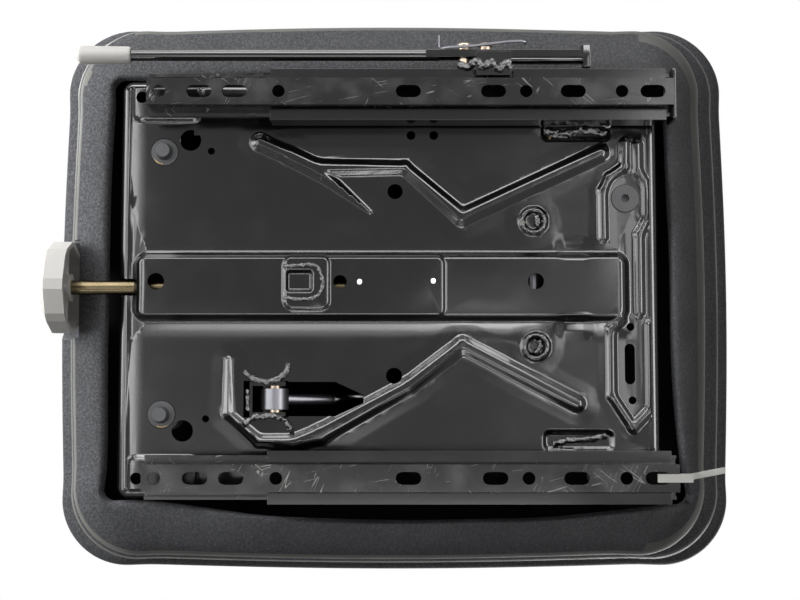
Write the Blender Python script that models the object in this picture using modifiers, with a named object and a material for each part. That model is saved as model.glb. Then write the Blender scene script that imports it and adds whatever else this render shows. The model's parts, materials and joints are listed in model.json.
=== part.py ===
"""Low-profile seat suspension on slide rails, in metres, +Z up, front of the seat towards -Y.

The floor rails stand on z = 0. The suspension is at the top of its travel, as it is with nobody on it.
"""

import math

import bmesh
import bpy
from mathutils import Matrix, Vector

# Clearances
GAP = 0.0003
RUNNING = 0.0003
ROLLER_CLEARANCE = 0.0004

# Slide rails
RAIL_SPACING = 0.28575
LOWER_RAIL_LENGTH = 0.392
LOWER_RAIL_FRONT = -0.184
LOWER_RAIL_WEB = 0.020
LOWER_RAIL_SHEET = 0.0025
LOWER_RAIL_HEIGHT = 0.0195
LOWER_RAIL_HOOK = 0.0324
LOWER_RAIL_HOOK_DEPTH = 0.0059
UPPER_RAIL_LENGTH = 0.297
UPPER_RAIL_WIDTH = 0.039
UPPER_RAIL_SHEET = 0.0024
UPPER_RAIL_BOTTOM = 0.0103
UPPER_RAIL_TOP = 0.032
UPPER_RAIL_LIP = 0.0034
UPPER_RAIL_LIP_SHEET = 0.0014
BOLT_HOLE = 0.0094
BOLT_SLOT = 0.0188
BOLT_HOLE_PLACES = (0.0094, 0.0982, 0.2823, 0.3534)
BOLT_SLOT_PLACES = (0.0391, 0.0654, 0.1947, 0.2580, 0.3172, 0.3764)
LATCH_PITCH = 0.016
LATCH_NOTCH = 0.009
LATCH_NOTCH_DEPTH = 0.003
LATCH_NOTCHES = 18
BALL = 0.0094
BALL_SPREAD = 0.0225
CAGE_LENGTH = 0.150
END_STOP_SHEET = 0.0025

# Lower pan
PAN_LENGTH = 0.4125
PAN_FRONT = -0.210
PAN_WIDTH = 0.320
PAN_CORNER = 0.009
PAN_BOTTOM = 0.038
PAN_SHEET = 0.002
PAN_RIM = 0.016
RIB_WIDTH = 0.0527
RIB_DEPTH = 0.008
RIB_FRONT = -0.198
RIB_STEP = 0.0395
RIB_REAR = 0.179
RIB_REAR_DEPTH = 0.0055
RIB_CORNER = 0.0085
SHAFT_GROOVE_DEPTH = 0.005
RIDGE_HALF_WIDTH = 0.0065
RIDGE_DEPTH = 0.0045
FOOT_LENGTH = 0.070
FOOT_WIDTH = 0.030
FOOT_PLACES = (-0.052, 0.148)
FOOT_BOLT = 0.008
FRONT_FOOT_WIDTH = 0.031
FRONT_FOOT_LENGTH = 0.054
FRONT_FOOT_PLACE = (0.1430, -0.1745)
PAN_SOLVER = "MANIFOLD"
UPPER_RIDGE = ((0.1115, -0.1029), (0.0917, -0.0587), (0.0917, 0.0083), (0.0535, 0.0517), (0.1031, 0.1583))
UPPER_BRANCH = ((0.0917, -0.0587), (0.0574, -0.0183))
LOWER_RIDGE = (
    (-0.0884, 0.1385),
    (-0.0434, 0.0517),
    (-0.0747, 0.0106),
    (-0.1174, -0.0671),
    (-0.1204, -0.1097),
    (-0.1037, -0.1204),
    (-0.0556, -0.1234),
)
TIE_WIDTH = 0.0062
TIE_SHEET = 0.0011
TIE_RELIEF = 0.0016
TIE_LOCK = 0.0055
TIE_HEAD_TOP = 0.009
TIE_HEAD_REACH = 0.010
TIE_TAIL_REACH = 0.034
TIE_TAIL_SHIFT = 0.0008
TIE_TAIL_LEAN = 0.0048
TIE_TAIL_WIDTH = 0.0046
TIE_TAIL_HEIGHT = 0.005
PAN_HOLES = (
    (0.1131, -0.1562, 0.0081),
    (-0.1090, -0.1600, 0.0081),
    (0.1047, -0.1402, 0.0027),
    (-0.0999, -0.1425, 0.0027),
    (0.0734, 0.0007, 0.0058),
    (-0.0674, 0.0000, 0.0061),
    (0.1169, 0.0129, 0.0034),
    (0.1169, 0.0304, 0.0034),
    (0.0036, -0.1798, 0.0063),
    (0.0032, -0.0408, 0.0051),
    (0.0039, 0.1073, 0.0061),
    (-0.0304, 0.1796, 0.0030),
    (-0.0860, 0.1804, 0.0030),
    (0.1459, -0.1934, 0.0030),
    (-0.1446, -0.1938, 0.0030),
)
BUMPER_PLACES = ((0.1039, -0.176), (-0.0968, -0.176))
BUMPER_HOLE = 0.0107
BUMPER_TIP = 0.008
BUMPER_FOOT = 0.0135
BUMPER_STEM = 0.0054
BUMPER_STEM_LENGTH = 0.010
BUMPER_PROUD = 0.0005
PLUG_PLACE = (0.068, 0.1766)
PLUG_HOLE = 0.0109
PLUG_HEAD = 0.013
PLUG_DIMPLE = 0.003
PLUG_PROUD = 0.0015
REAR_RIDGE_HALF_WIDTH = 0.0033
REAR_RIDGE_DEPTH = 0.003
PLUG_RIDGE = (
    (0.038, 0.1594),
    (0.074, 0.1594),
    (0.084, 0.1640),
    (0.0925, 0.1762),
    (0.1110, 0.1766),
)
REAR_RIDGE = (
    (0.1095, 0.1865),
    (0.0890, 0.1865),
    (0.0790, 0.1932),
    (0.0528, 0.1932),
    (0.0406, 0.1869),
    (-0.0190, 0.1869),
)
RING_RIDGE = (
    (-0.0250, 0.1730),
    (-0.0330, 0.1648),
    (-0.0823, 0.1648),
    (-0.1065, 0.1805),
    (-0.0922, 0.1943),
    (-0.0290, 0.1943),
)
MIDDLE_SLOT_PLACE = (-0.0585, 0.1788)
MIDDLE_SLOT_LENGTH = 0.029
MIDDLE_SLOT_WIDTH = 0.0077

# Scissor linkage
ARM_LENGTH = 0.280
ARM_LIFT = 0.066
TRAVEL = 0.048
ARM_FRONT = -0.140
ARM_HEIGHT = 0.021
ARM_SHEET = 0.004
OUTER_ARM_X = 0.114
INNER_ARM_X = 0.105
ROLLER_RADIUS = 0.009
ROLLER_WIDTH = 0.010
ROLLER_GAP = 0.0012
PIVOT_RADIUS = 0.005
TRACK_SHEET = 0.002
TRACK_LENGTH = 0.046
BRACKET_SHEET = 0.003

# Upper housing
HOUSING_LENGTH = 0.496
HOUSING_WIDTH = 0.400
HOUSING_SHEET = 0.0025
HOUSING_DROP = 0.0135
FLANGE_LENGTH = 0.522
FLANGE_WIDTH = 0.424
CORNER = 0.050
SEAT_BOLT_X = 0.260
SEAT_BOLT_Y = 0.300
SEAT_BOLT_HOLE = 0.009

# Boot
BOOT_LENGTH = 0.532
BOOT_WIDTH = 0.434
BOOT_SHEET = 0.003
BOOT_LIP_BOTTOM = 0.0435
BOOT_LIP_LENGTH = 0.430
BOOT_LIP_WIDTH = 0.328
BOOT_LIP_SHIFT = -0.004
BOOT_LIP_CORNER = 0.008
BOOT_FOLD_LENGTH = 0.4856
BOOT_FOLD_WIDTH = 0.410

# Damper
DAMPER_X = -0.085
DAMPER_FRONT = -0.091
DAMPER_BACK = 0.055
DAMPER_LOW = 0.047
DAMPER_RISE = 0.065
DAMPER_EYE = 0.0105
DAMPER_EYE_WIDTH = 0.016
DAMPER_PIN = 0.005
DAMPER_ROD = 0.004
DAMPER_BODY = 0.011
DAMPER_GLAND = 0.045
DAMPER_WALL = 0.002
BRACKET_FOOT_FRONT = 0.018
BRACKET_FOOT_BACK = 0.009
BRACKET_TOP_FRONT = 0.010
BRACKET_TOP_BACK = 0.005
BRACKET_SLOT_WIDTH = 0.0275
BRACKET_SLOT_LENGTH = 0.034
FLANGE_SHEET = 0.0022
LEFT_FLANGE = (
    (0.0210, -0.0218),
    (0.0160, -0.0175),
    (0.0144, -0.0120),
    (0.0144, 0.0000),
    (0.0172, 0.0065),
    (0.0205, 0.0095),
    (0.0264, 0.0117),
)
RIGHT_FLANGE = (
    (-0.0170, -0.0198),
    (-0.0144, -0.0170),
    (-0.0140, -0.0073),
    (-0.0144, 0.0060),
    (-0.0202, 0.0110),
    (-0.0232, 0.0125),
)
FLANGE_HALF_WIDTH = 0.0016

# Weight adjuster and spring rocker
SHAFT_Z = 0.042
SHAFT_RADIUS = 0.0055
SHAFT_CLEARANCE = 0.001
SHAFT_REAR = 0.030
KNOB_RADIUS = 0.035
KNOB_WIDTH = 0.0225
KNOB_REAR = -0.2453
KNOB_FACETS = 12
KNOB_PROFILE = ((0.97, 0), (1, 0.3), (0.97, 0.62), (0.84, 0.85), (0.55, 1))
KNOB_CLEARANCE = 0.003
KNOB_WALL = 0.0045
KNOB_HOLLOW = 0.014
KNOB_HUB = 0.011
SHAFT_IN_KNOB = 0.012
TENSION_BAR_Y = 0.006
TENSION_BAR_DEPTH = 0.010
TENSION_BAR_WIDTH = 0.078
ROCKER_Y = 0.106
ROCKER_Z = 0.048
ROCKER_ARM = 0.085
ROCKER_REST = math.radians(35.2)
ROCKER_LUG = 0.020
ROCKER_LUG_LEAN = math.radians(18)
ROCKER_HALF_WIDTH = 0.038
ROCKER_SHEET = 0.004
ROCKER_PIN = 0.004
ROCKER_PIN_OVERHANG = 0.017
ROCKER_AXLE = 0.0035
ROCKER_ROLLER = 0.008
ROCKER_ROLLER_CLEARANCE = 0.0015
SPRING_X = 0.024
SPRING_RADIUS = 0.0115
SPRING_WIRE = 0.0018
SPRING_COILS = 11
SPRING_STEPS = 8

# Release lever
LEVER_X = 0.1751
LEVER_Z = 0.020
LEVER_WIDTH = 0.0056
LEVER_HEIGHT = 0.013
LEVER_FRONT = 0.024
LEVER_REAR = 0.143
LEVER_PIVOT = 0.0531
LEVER_STOP = 0.0693
LEVER_ROD = 0.0045
GRIP_RADIUS = 0.007
GRIP_FRONT = -0.240
GRIP_LENGTH = 0.041
RIVET_SHANK = 0.003
LATCH_FRONT = 0.0615
LATCH_REAR = 0.0875

ROUND = 20
HOLE_OVERRUN = 0.001

# Worked out from the sizes above
RAIL_X = RAIL_SPACING / 2
PAN_TOP = PAN_BOTTOM + PAN_SHEET
PAN_REAR = PAN_FRONT + PAN_LENGTH
LOW_PIVOT_Z = PAN_TOP + GAP + TRACK_SHEET + ROLLER_CLEARANCE + ROLLER_RADIUS
HIGH_PIVOT_Z = LOW_PIVOT_Z + ARM_LIFT
ARM_ANGLE = math.asin(ARM_LIFT / ARM_LENGTH)
ARM_REAR = ARM_FRONT + ARM_LENGTH * math.cos(ARM_ANGLE)
INNER_ARM_NEAR = INNER_ARM_X - ARM_SHEET / 2
INNER_ARM_FAR = INNER_ARM_X + ARM_SHEET / 2
OUTER_ARM_NEAR = OUTER_ARM_X - ARM_SHEET / 2
OUTER_ARM_FAR = OUTER_ARM_X + ARM_SHEET / 2
HOUSING_UNDER = HIGH_PIVOT_Z + ROLLER_RADIUS + ROLLER_CLEARANCE + TRACK_SHEET + GAP
HOUSING_TOP = HOUSING_UNDER + HOUSING_SHEET
FLANGE_TOP = HOUSING_TOP - HOUSING_DROP
UPPER_RAIL_REAR = LOWER_RAIL_FRONT + LOWER_RAIL_LENGTH - 0.004
UPPER_RAIL_FRONT = UPPER_RAIL_REAR - UPPER_RAIL_LENGTH
LUG_Y = ROCKER_Y - ROCKER_LUG * math.sin(ROCKER_LUG_LEAN)
LUG_Z = ROCKER_Z + ROCKER_LUG * math.cos(ROCKER_LUG_LEAN)
ROCKER_TIP_Y = ROCKER_Y + ROCKER_ARM * math.cos(ROCKER_REST)
ROCKER_TIP_Z = ROCKER_Z + ROCKER_ARM * math.sin(ROCKER_REST)
WINDOW = (
    (DAMPER_X - 0.013, DAMPER_FRONT + 0.009),
    (DAMPER_X + 0.013, DAMPER_FRONT + 0.009),
    (DAMPER_X + 0.013, DAMPER_FRONT + 0.047),
    (DAMPER_X + 0.003, DAMPER_FRONT + 0.068),
    (DAMPER_X - 0.003, DAMPER_FRONT + 0.068),
    (DAMPER_X - 0.013, DAMPER_FRONT + 0.048),
)
BRACKET_SLOT_PLACE = (DAMPER_X, DAMPER_FRONT - 0.006)
DAMPER_ANGLE = math.atan2(DAMPER_RISE, DAMPER_BACK - DAMPER_FRONT)
DAMPER_LENGTH = math.hypot(DAMPER_RISE, DAMPER_BACK - DAMPER_FRONT)

AXES = {
    "X": Matrix(((0, 0, 1), (1, 0, 0), (0, 1, 0))),
    "Y": Matrix(((1, 0, 0), (0, 0, -1), (0, 1, 0))),
    "Z": Matrix.Identity(3),
}

for old in list(bpy.data.objects):
    bpy.data.objects.remove(old, do_unlink=True)
PARTS = bpy.data.collections.new("seat_suspension")
CUTTERS = bpy.data.collections.new("cutters")
for group in (PARTS, CUTTERS):
    bpy.context.scene.collection.children.link(group)
CUTTERS.hide_render = True


def material(name, colour, roughness, metallic):
    made = bpy.data.materials.new(name)
    made.use_nodes = True
    shader = made.node_tree.nodes["Principled BSDF"]
    shader.inputs["Base Color"].default_value = (*colour, 1)
    shader.inputs["Roughness"].default_value = roughness
    shader.inputs["Metallic"].default_value = metallic
    made.diffuse_color = (*colour, 1)
    return made


BLACK_PAINT = material("black_paint", (0.012, 0.012, 0.013), 0.22, 0.0)
DARK_STEEL = material("dark_steel", (0.08, 0.08, 0.085), 0.35, 0.9)
ZINC = material("yellow_zinc", (0.42, 0.34, 0.2), 0.35, 0.9)
BARE_STEEL = material("bare_steel", (0.45, 0.44, 0.42), 0.3, 1.0)
PALE_PLASTIC = material("pale_plastic", (0.62, 0.6, 0.57), 0.5, 0.0)
RUBBER = material("rubber", (0.02, 0.02, 0.021), 0.6, 0.0)
BOOT_VINYL = material("boot_vinyl", (0.045, 0.046, 0.052), 0.6, 0.0)
NYLON = material("nylon", (0.75, 0.74, 0.68), 0.4, 0.0)


def placed(name, bm, finish, cutter=False):
    """Makes an object from a closed mesh, in the parts or among the cutters."""
    bmesh.ops.recalc_face_normals(bm, faces=bm.faces)
    mesh = bpy.data.meshes.new(name)
    bm.to_mesh(mesh)
    bm.free()
    made = bpy.data.objects.new(name, mesh)
    if cutter:
        CUTTERS.objects.link(made)
        made.hide_render = True
        made.display_type = "WIRE"
    else:
        PARTS.objects.link(made)
        mesh.materials.append(finish)
    return made


def combined(first, other, operation, solver="EXACT"):
    """Joins a solid to the first object, cuts it out of it, or keeps what both share."""
    step = first.modifiers.new(operation.title(), "BOOLEAN")
    step.operation = operation
    step.solver = solver
    step.object = other
    return first


def box(name, low, high, finish=None):
    bm = bmesh.new()
    size = [top - bottom for bottom, top in zip(low, high)]
    middle = [(top + bottom) / 2 for bottom, top in zip(low, high)]
    matrix = Matrix.Translation(middle) @ Matrix.Diagonal((*size, 1))
    bmesh.ops.create_cube(bm, size=1, matrix=matrix)
    return placed(name, bm, finish, finish is None)


def rod(name, start, end, radius, finish=None, sides=ROUND, end_radius=None):
    """A round bar between two points, or a cone where its end radius differs."""
    start, end = Vector(start), Vector(end)
    along = end - start
    bm = bmesh.new()
    turn = along.to_track_quat("Z", "Y").to_matrix().to_4x4()
    bmesh.ops.create_cone(
        bm,
        cap_ends=True,
        segments=sides,
        radius1=radius,
        radius2=radius if end_radius is None else end_radius,
        depth=along.length,
        matrix=Matrix.Translation((start + end) / 2) @ turn,
    )
    return placed(name, bm, finish, finish is None)


def plate(name, outline, axis, low, high, finish=None, holes=()):
    """A flat outline given across an axis, made thick from low to high along it.

    Across X an outline is (Y, Z), across Y it is (X, Z), and across Z it is (X, Y).
    """
    bm = bmesh.new()
    depth = high - low
    start = -high if axis == "Y" else low
    face = bm.faces.new([bm.verts.new((u, v, start)) for u, v in outline])
    grown = bmesh.ops.extrude_face_region(bm, geom=[face])["geom"]
    far_side = [item for item in grown if isinstance(item, bmesh.types.BMVert)]
    bmesh.ops.translate(bm, verts=far_side, vec=(0, 0, depth))
    bmesh.ops.transform(bm, verts=bm.verts, matrix=AXES[axis].to_4x4())
    made = placed(name, bm, finish, finish is None)
    for i, hole in enumerate(holes):
        cut = plate(f"{name}_hole_{i}", hole, axis, low - HOLE_OVERRUN, high + HOLE_OVERRUN)
        combined(made, cut, "DIFFERENCE")
    return made


def wire(name, points, radius, finish, cyclic=False):
    curve = bpy.data.curves.new(name, "CURVE")
    curve.dimensions = "3D"
    curve.bevel_depth = radius
    curve.bevel_resolution = 1
    curve.use_fill_caps = True
    spline = curve.splines.new("POLY")
    spline.points.add(len(points) - 1)
    for point, place in zip(spline.points, points):
        point.co = (*place, 1)
    spline.use_cyclic_u = cyclic
    curve.materials.append(finish)
    made = bpy.data.objects.new(name, curve)
    PARTS.objects.link(made)
    return made


def circle(centre, radius, sides=ROUND):
    angles = [math.tau * i / sides for i in range(sides)]
    return [(centre[0] + radius * math.cos(a), centre[1] + radius * math.sin(a)) for a in angles]


def slot(centre, length, width, along_second=True, sides=12):
    """A slot with round ends, its length along the second or the first of the outline's directions."""
    reach = (length - width) / 2
    points = []
    for i in range(sides + 2):
        end = 1 if i <= sides // 2 else -1
        angle = math.pi * (i - (0 if end > 0 else 1)) / (sides // 2)
        across, along = width / 2 * math.cos(angle), width / 2 * math.sin(angle) + end * reach
        u, v = (across, along) if along_second else (along, -across)
        points.append((centre[0] + u, centre[1] + v))
    return points


def rounded(width, length, corner, centre=(0, 0), steps=5):
    """A rectangle with round corners, its width along the first direction."""
    points = []
    for quarter, (side, end) in enumerate(((1, 1), (-1, 1), (-1, -1), (1, -1))):
        for i in range(steps + 1):
            angle = math.pi / 2 * (quarter + i / steps)
            across = side * (width / 2 - corner) + corner * math.cos(angle)
            along = end * (length / 2 - corner) + corner * math.sin(angle)
            points.append((centre[0] + across, centre[1] + along))
    return points


def ribbon(path, widths, cap=6):
    """The outline of a band along a path, with its half-width at each point and round ends."""
    path = [Vector(point) for point in path]
    left, right = [], []
    for i, point in enumerate(path):
        before = (point - path[i - 1]).normalized() if i else None
        after = (path[i + 1] - point).normalized() if i + 1 < len(path) else None
        ahead = ((before or after) + (after or before)).normalized()
        side = Vector((-ahead.y, ahead.x))
        reach = widths[i] / max(0.5, side.dot(Vector((-(after or before).y, (after or before).x))))
        left.append(point + side * reach)
        right.append(point - side * reach)

    def end(centre, outward, half_width):
        side = Vector((outward.y, -outward.x))
        turns = (math.pi * j / cap for j in range(1, cap))
        return [centre + half_width * (side * math.cos(a) + outward * math.sin(a)) for a in turns]

    outline = right + end(path[-1], (path[-1] - path[-2]).normalized(), widths[-1])
    outline += left[::-1] + end(path[0], (path[0] - path[1]).normalized(), widths[0])
    return [tuple(point) for point in outline]


def frustum(name, outline, top, bottom, draft):
    """A solid that narrows downwards by its draft, as a pressing's inside or outside does."""
    bm = bmesh.new()
    bm.faces.new([bm.verts.new((*point, top)) for point in outline])
    bm.normal_update()
    inset = bmesh.ops.inset_region(
        bm, faces=bm.faces[:], thickness=draft, use_boundary=True, use_even_offset=True
    )
    ring = set(inset["faces"])
    inner = {vertex for face in bm.faces if face not in ring for vertex in face.verts}
    for vertex in inner:
        vertex.co.z = bottom
    edges = [edge for edge in bm.edges if edge.is_boundary]
    bmesh.ops.holes_fill(bm, edges=edges)
    return placed(name, bm, None, True)


def mirrored(outline):
    return [(-u, v) for u, v in outline][::-1]


# Slide rails


def lower_rail_section(centre):
    half_web, half_hook, sheet = LOWER_RAIL_WEB / 2, LOWER_RAIL_HOOK / 2, LOWER_RAIL_SHEET
    top, hook = LOWER_RAIL_HEIGHT, LOWER_RAIL_HEIGHT - LOWER_RAIL_HOOK_DEPTH
    half = [
        (half_web, 0),
        (half_web, top - sheet),
        (half_hook - sheet, top - sheet),
        (half_hook - sheet, hook),
        (half_hook, hook),
        (half_hook, top),
        (half_web - sheet, top),
        (half_web - sheet, sheet),
    ]
    return [(centre + u, v) for u, v in half + mirrored(half)]


def upper_rail_section(centre):
    half, sheet, lip = UPPER_RAIL_WIDTH / 2, UPPER_RAIL_SHEET, UPPER_RAIL_LIP
    bottom, top = UPPER_RAIL_BOTTOM, UPPER_RAIL_TOP
    inner = LOWER_RAIL_WEB / 2 + 4 * GAP
    side = [
        (half, top),
        (half, bottom),
        (inner, bottom),
        (inner, bottom + sheet + lip),
        (inner + UPPER_RAIL_LIP_SHEET, bottom + sheet + lip),
        (inner + UPPER_RAIL_LIP_SHEET, bottom + sheet),
        (half - sheet, bottom + sheet),
        (half - sheet, top - sheet),
    ]
    return [(centre + u, v) for u, v in side + mirrored(side)]


def slide_rails():
    rear = LOWER_RAIL_FRONT + LOWER_RAIL_LENGTH
    for name, side in (("left", 1), ("right", -1)):
        x = side * RAIL_X
        lower = plate(
            f"lower_rail_{name}", lower_rail_section(x), "Y", LOWER_RAIL_FRONT, rear, BLACK_PAINT
        )
        for i, place in enumerate(BOLT_HOLE_PLACES):
            y = LOWER_RAIL_FRONT + place
            drill = rod(f"bolt_hole_{name}_{i}", (x, y, -0.01), (x, y, 0.01), BOLT_HOLE / 2)
            combined(lower, drill, "DIFFERENCE")
        for i, place in enumerate(BOLT_SLOT_PLACES):
            shape = slot((x, LOWER_RAIL_FRONT + place), BOLT_SLOT, BOLT_HOLE)
            combined(lower, plate(f"bolt_slot_{name}_{i}", shape, "Z", -0.01, 0.01), "DIFFERENCE")
        if side > 0:
            notch_z = LOWER_RAIL_HEIGHT - LOWER_RAIL_HOOK_DEPTH
            outer = x + LOWER_RAIL_HOOK / 2
            for i in range(LATCH_NOTCHES):
                y = LOWER_RAIL_FRONT + 0.038 + i * LATCH_PITCH
                low = (outer - LOWER_RAIL_SHEET - 0.001, y, notch_z - 0.002)
                high = (outer + 0.001, y + LATCH_NOTCH, notch_z + LATCH_NOTCH_DEPTH)
                combined(lower, box(f"latch_notch_{i}", low, high), "DIFFERENCE")
        upper = plate(
            f"upper_rail_{name}", upper_rail_section(x), "Y", UPPER_RAIL_FRONT, UPPER_RAIL_REAR, BLACK_PAINT
        )
        for i, y in enumerate(FOOT_PLACES):
            drill = rod(
                f"upper_rail_hole_{name}_{i}", (x, y, 0.028), (x, y, 0.036), FOOT_BOLT / 2 + RUNNING
            )
            combined(upper, drill, "DIFFERENCE")
        if side > 0:
            low = (x + LOWER_RAIL_HOOK / 2 - 0.004, LATCH_FRONT - 0.002, UPPER_RAIL_BOTTOM - 0.002)
            high = (x + UPPER_RAIL_WIDTH / 2 + 0.001, LATCH_REAR + 0.002, UPPER_RAIL_BOTTOM + 0.0042)
            combined(upper, box("latch_window", low, high), "DIFFERENCE")
        ball_cage(name, x)
    end_stop(rear)
    cable_tie(-RAIL_X, rear)


def ball_cage(name, x):
    """A strip that holds four balls between the lower rail's flanges and the upper rail's roof."""
    z = (LOWER_RAIL_HEIGHT + UPPER_RAIL_TOP - UPPER_RAIL_SHEET) / 2
    middle = (UPPER_RAIL_FRONT + UPPER_RAIL_REAR) / 2
    half = CAGE_LENGTH / 2
    cage = box(
        f"ball_cage_{name}",
        (x - BALL_SPREAD / 2 - 0.003, middle - half, z - 0.001),
        (x + BALL_SPREAD / 2 + 0.003, middle + half, z + 0.001),
        DARK_STEEL,
    )
    for i, (across, along) in enumerate(((-1, -1), (1, -1), (-1, 1), (1, 1))):
        bm = bmesh.new()
        place = (x + across * BALL_SPREAD / 2, middle + along * (half - 0.012), z)
        bmesh.ops.create_uvsphere(
            bm, u_segments=8, v_segments=6, radius=BALL / 2, matrix=Matrix.Translation(place)
        )
        combined(cage, placed(f"ball_{name}_{i}", bm, None, True), "UNION")


def end_stop(rear):
    half = UPPER_RAIL_WIDTH / 2
    outline = rounded(2 * half, UPPER_RAIL_TOP - 0.006, 0.002, (RAIL_X, UPPER_RAIL_TOP / 2 + 0.003), 2)
    plate("rail_end_stop", outline, "Y", rear + GAP, rear + GAP + END_STOP_SHEET, BLACK_PAINT)


def cable_tie(x, rear):
    """A tie round the end of the rail's web, in a shallow relief so that it stands clear of the floor."""
    width, thick, relief = TIE_WIDTH, TIE_SHEET, TIE_RELIEF
    head_rear, tail_rear = rear + TIE_HEAD_REACH, rear + TIE_TAIL_REACH
    start = LOWER_RAIL_FRONT + BOLT_SLOT_PLACES[-1]
    rail = bpy.data.objects["lower_rail_right"]
    cut = box(
        "tie_relief",
        (x - width / 2 - GAP, start, -0.001),
        (x + width / 2 + GAP, rear + 0.001, relief),
    )
    combined(rail, cut, "DIFFERENCE")
    top = LOWER_RAIL_SHEET + GAP
    outer = [
        (start, relief - GAP - thick),
        (rear + GAP + TIE_LOCK, relief - GAP - thick),
        (rear + GAP + TIE_LOCK, TIE_HEAD_TOP),
        (rear + GAP, TIE_HEAD_TOP),
        (rear + GAP, top + thick),
        (start, top + thick),
    ]
    hole = [
        (start + thick, relief - GAP),
        (rear + GAP, relief - GAP),
        (rear + GAP, top),
        (start + thick, top),
    ]
    tie = plate("cable_tie", outer, "X", x - width / 2, x + width / 2, NYLON, (hole,))
    head = box(
        "tie_head",
        (x - width / 2, rear + GAP, relief - GAP - thick),
        (x + width / 2, head_rear, TIE_HEAD_TOP - thick),
    )
    combined(tie, head, "UNION")
    near, far, half = x + TIE_TAIL_SHIFT, x + TIE_TAIL_SHIFT + TIE_TAIL_LEAN, TIE_TAIL_WIDTH / 2
    tail_start = head_rear - thick
    tail = [
        (near - half, tail_start),
        (near + half, tail_start),
        (far + half, tail_rear),
        (far - half, tail_rear),
    ]
    tie_tail = plate("tie_tail", tail, "Z", TIE_TAIL_HEIGHT, TIE_TAIL_HEIGHT + thick)
    combined(tie, tie_tail, "UNION")


# Lower pan


def pressed(pan, name, outline, depth, draft):
    """Joins a pressing's outside to the pan, and returns the hollow that is cut out of it."""
    bottom = PAN_BOTTOM - depth
    outside = frustum(name + "_outside", outline, PAN_BOTTOM + PAN_SHEET / 2, bottom, draft)
    combined(pan, outside, "UNION", PAN_SOLVER)
    inner = inset_outline(outline, PAN_SHEET)
    return frustum(name + "_hollow", inner, PAN_TOP + HOLE_OVERRUN, bottom + PAN_SHEET, draft)


def inset_outline(outline, distance):
    """The same outline, moved inwards by a distance."""
    bm = bmesh.new()
    bm.faces.new([bm.verts.new((*point, 0)) for point in outline])
    bm.normal_update()
    inset = bmesh.ops.inset_region(
        bm, faces=bm.faces[:], thickness=distance, use_boundary=True, use_even_offset=True
    )
    ring = set(inset["faces"])
    face = next(face for face in bm.faces if face not in ring)
    points = [(vertex.co.x, vertex.co.y) for vertex in face.verts]
    bm.free()
    return points


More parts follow.
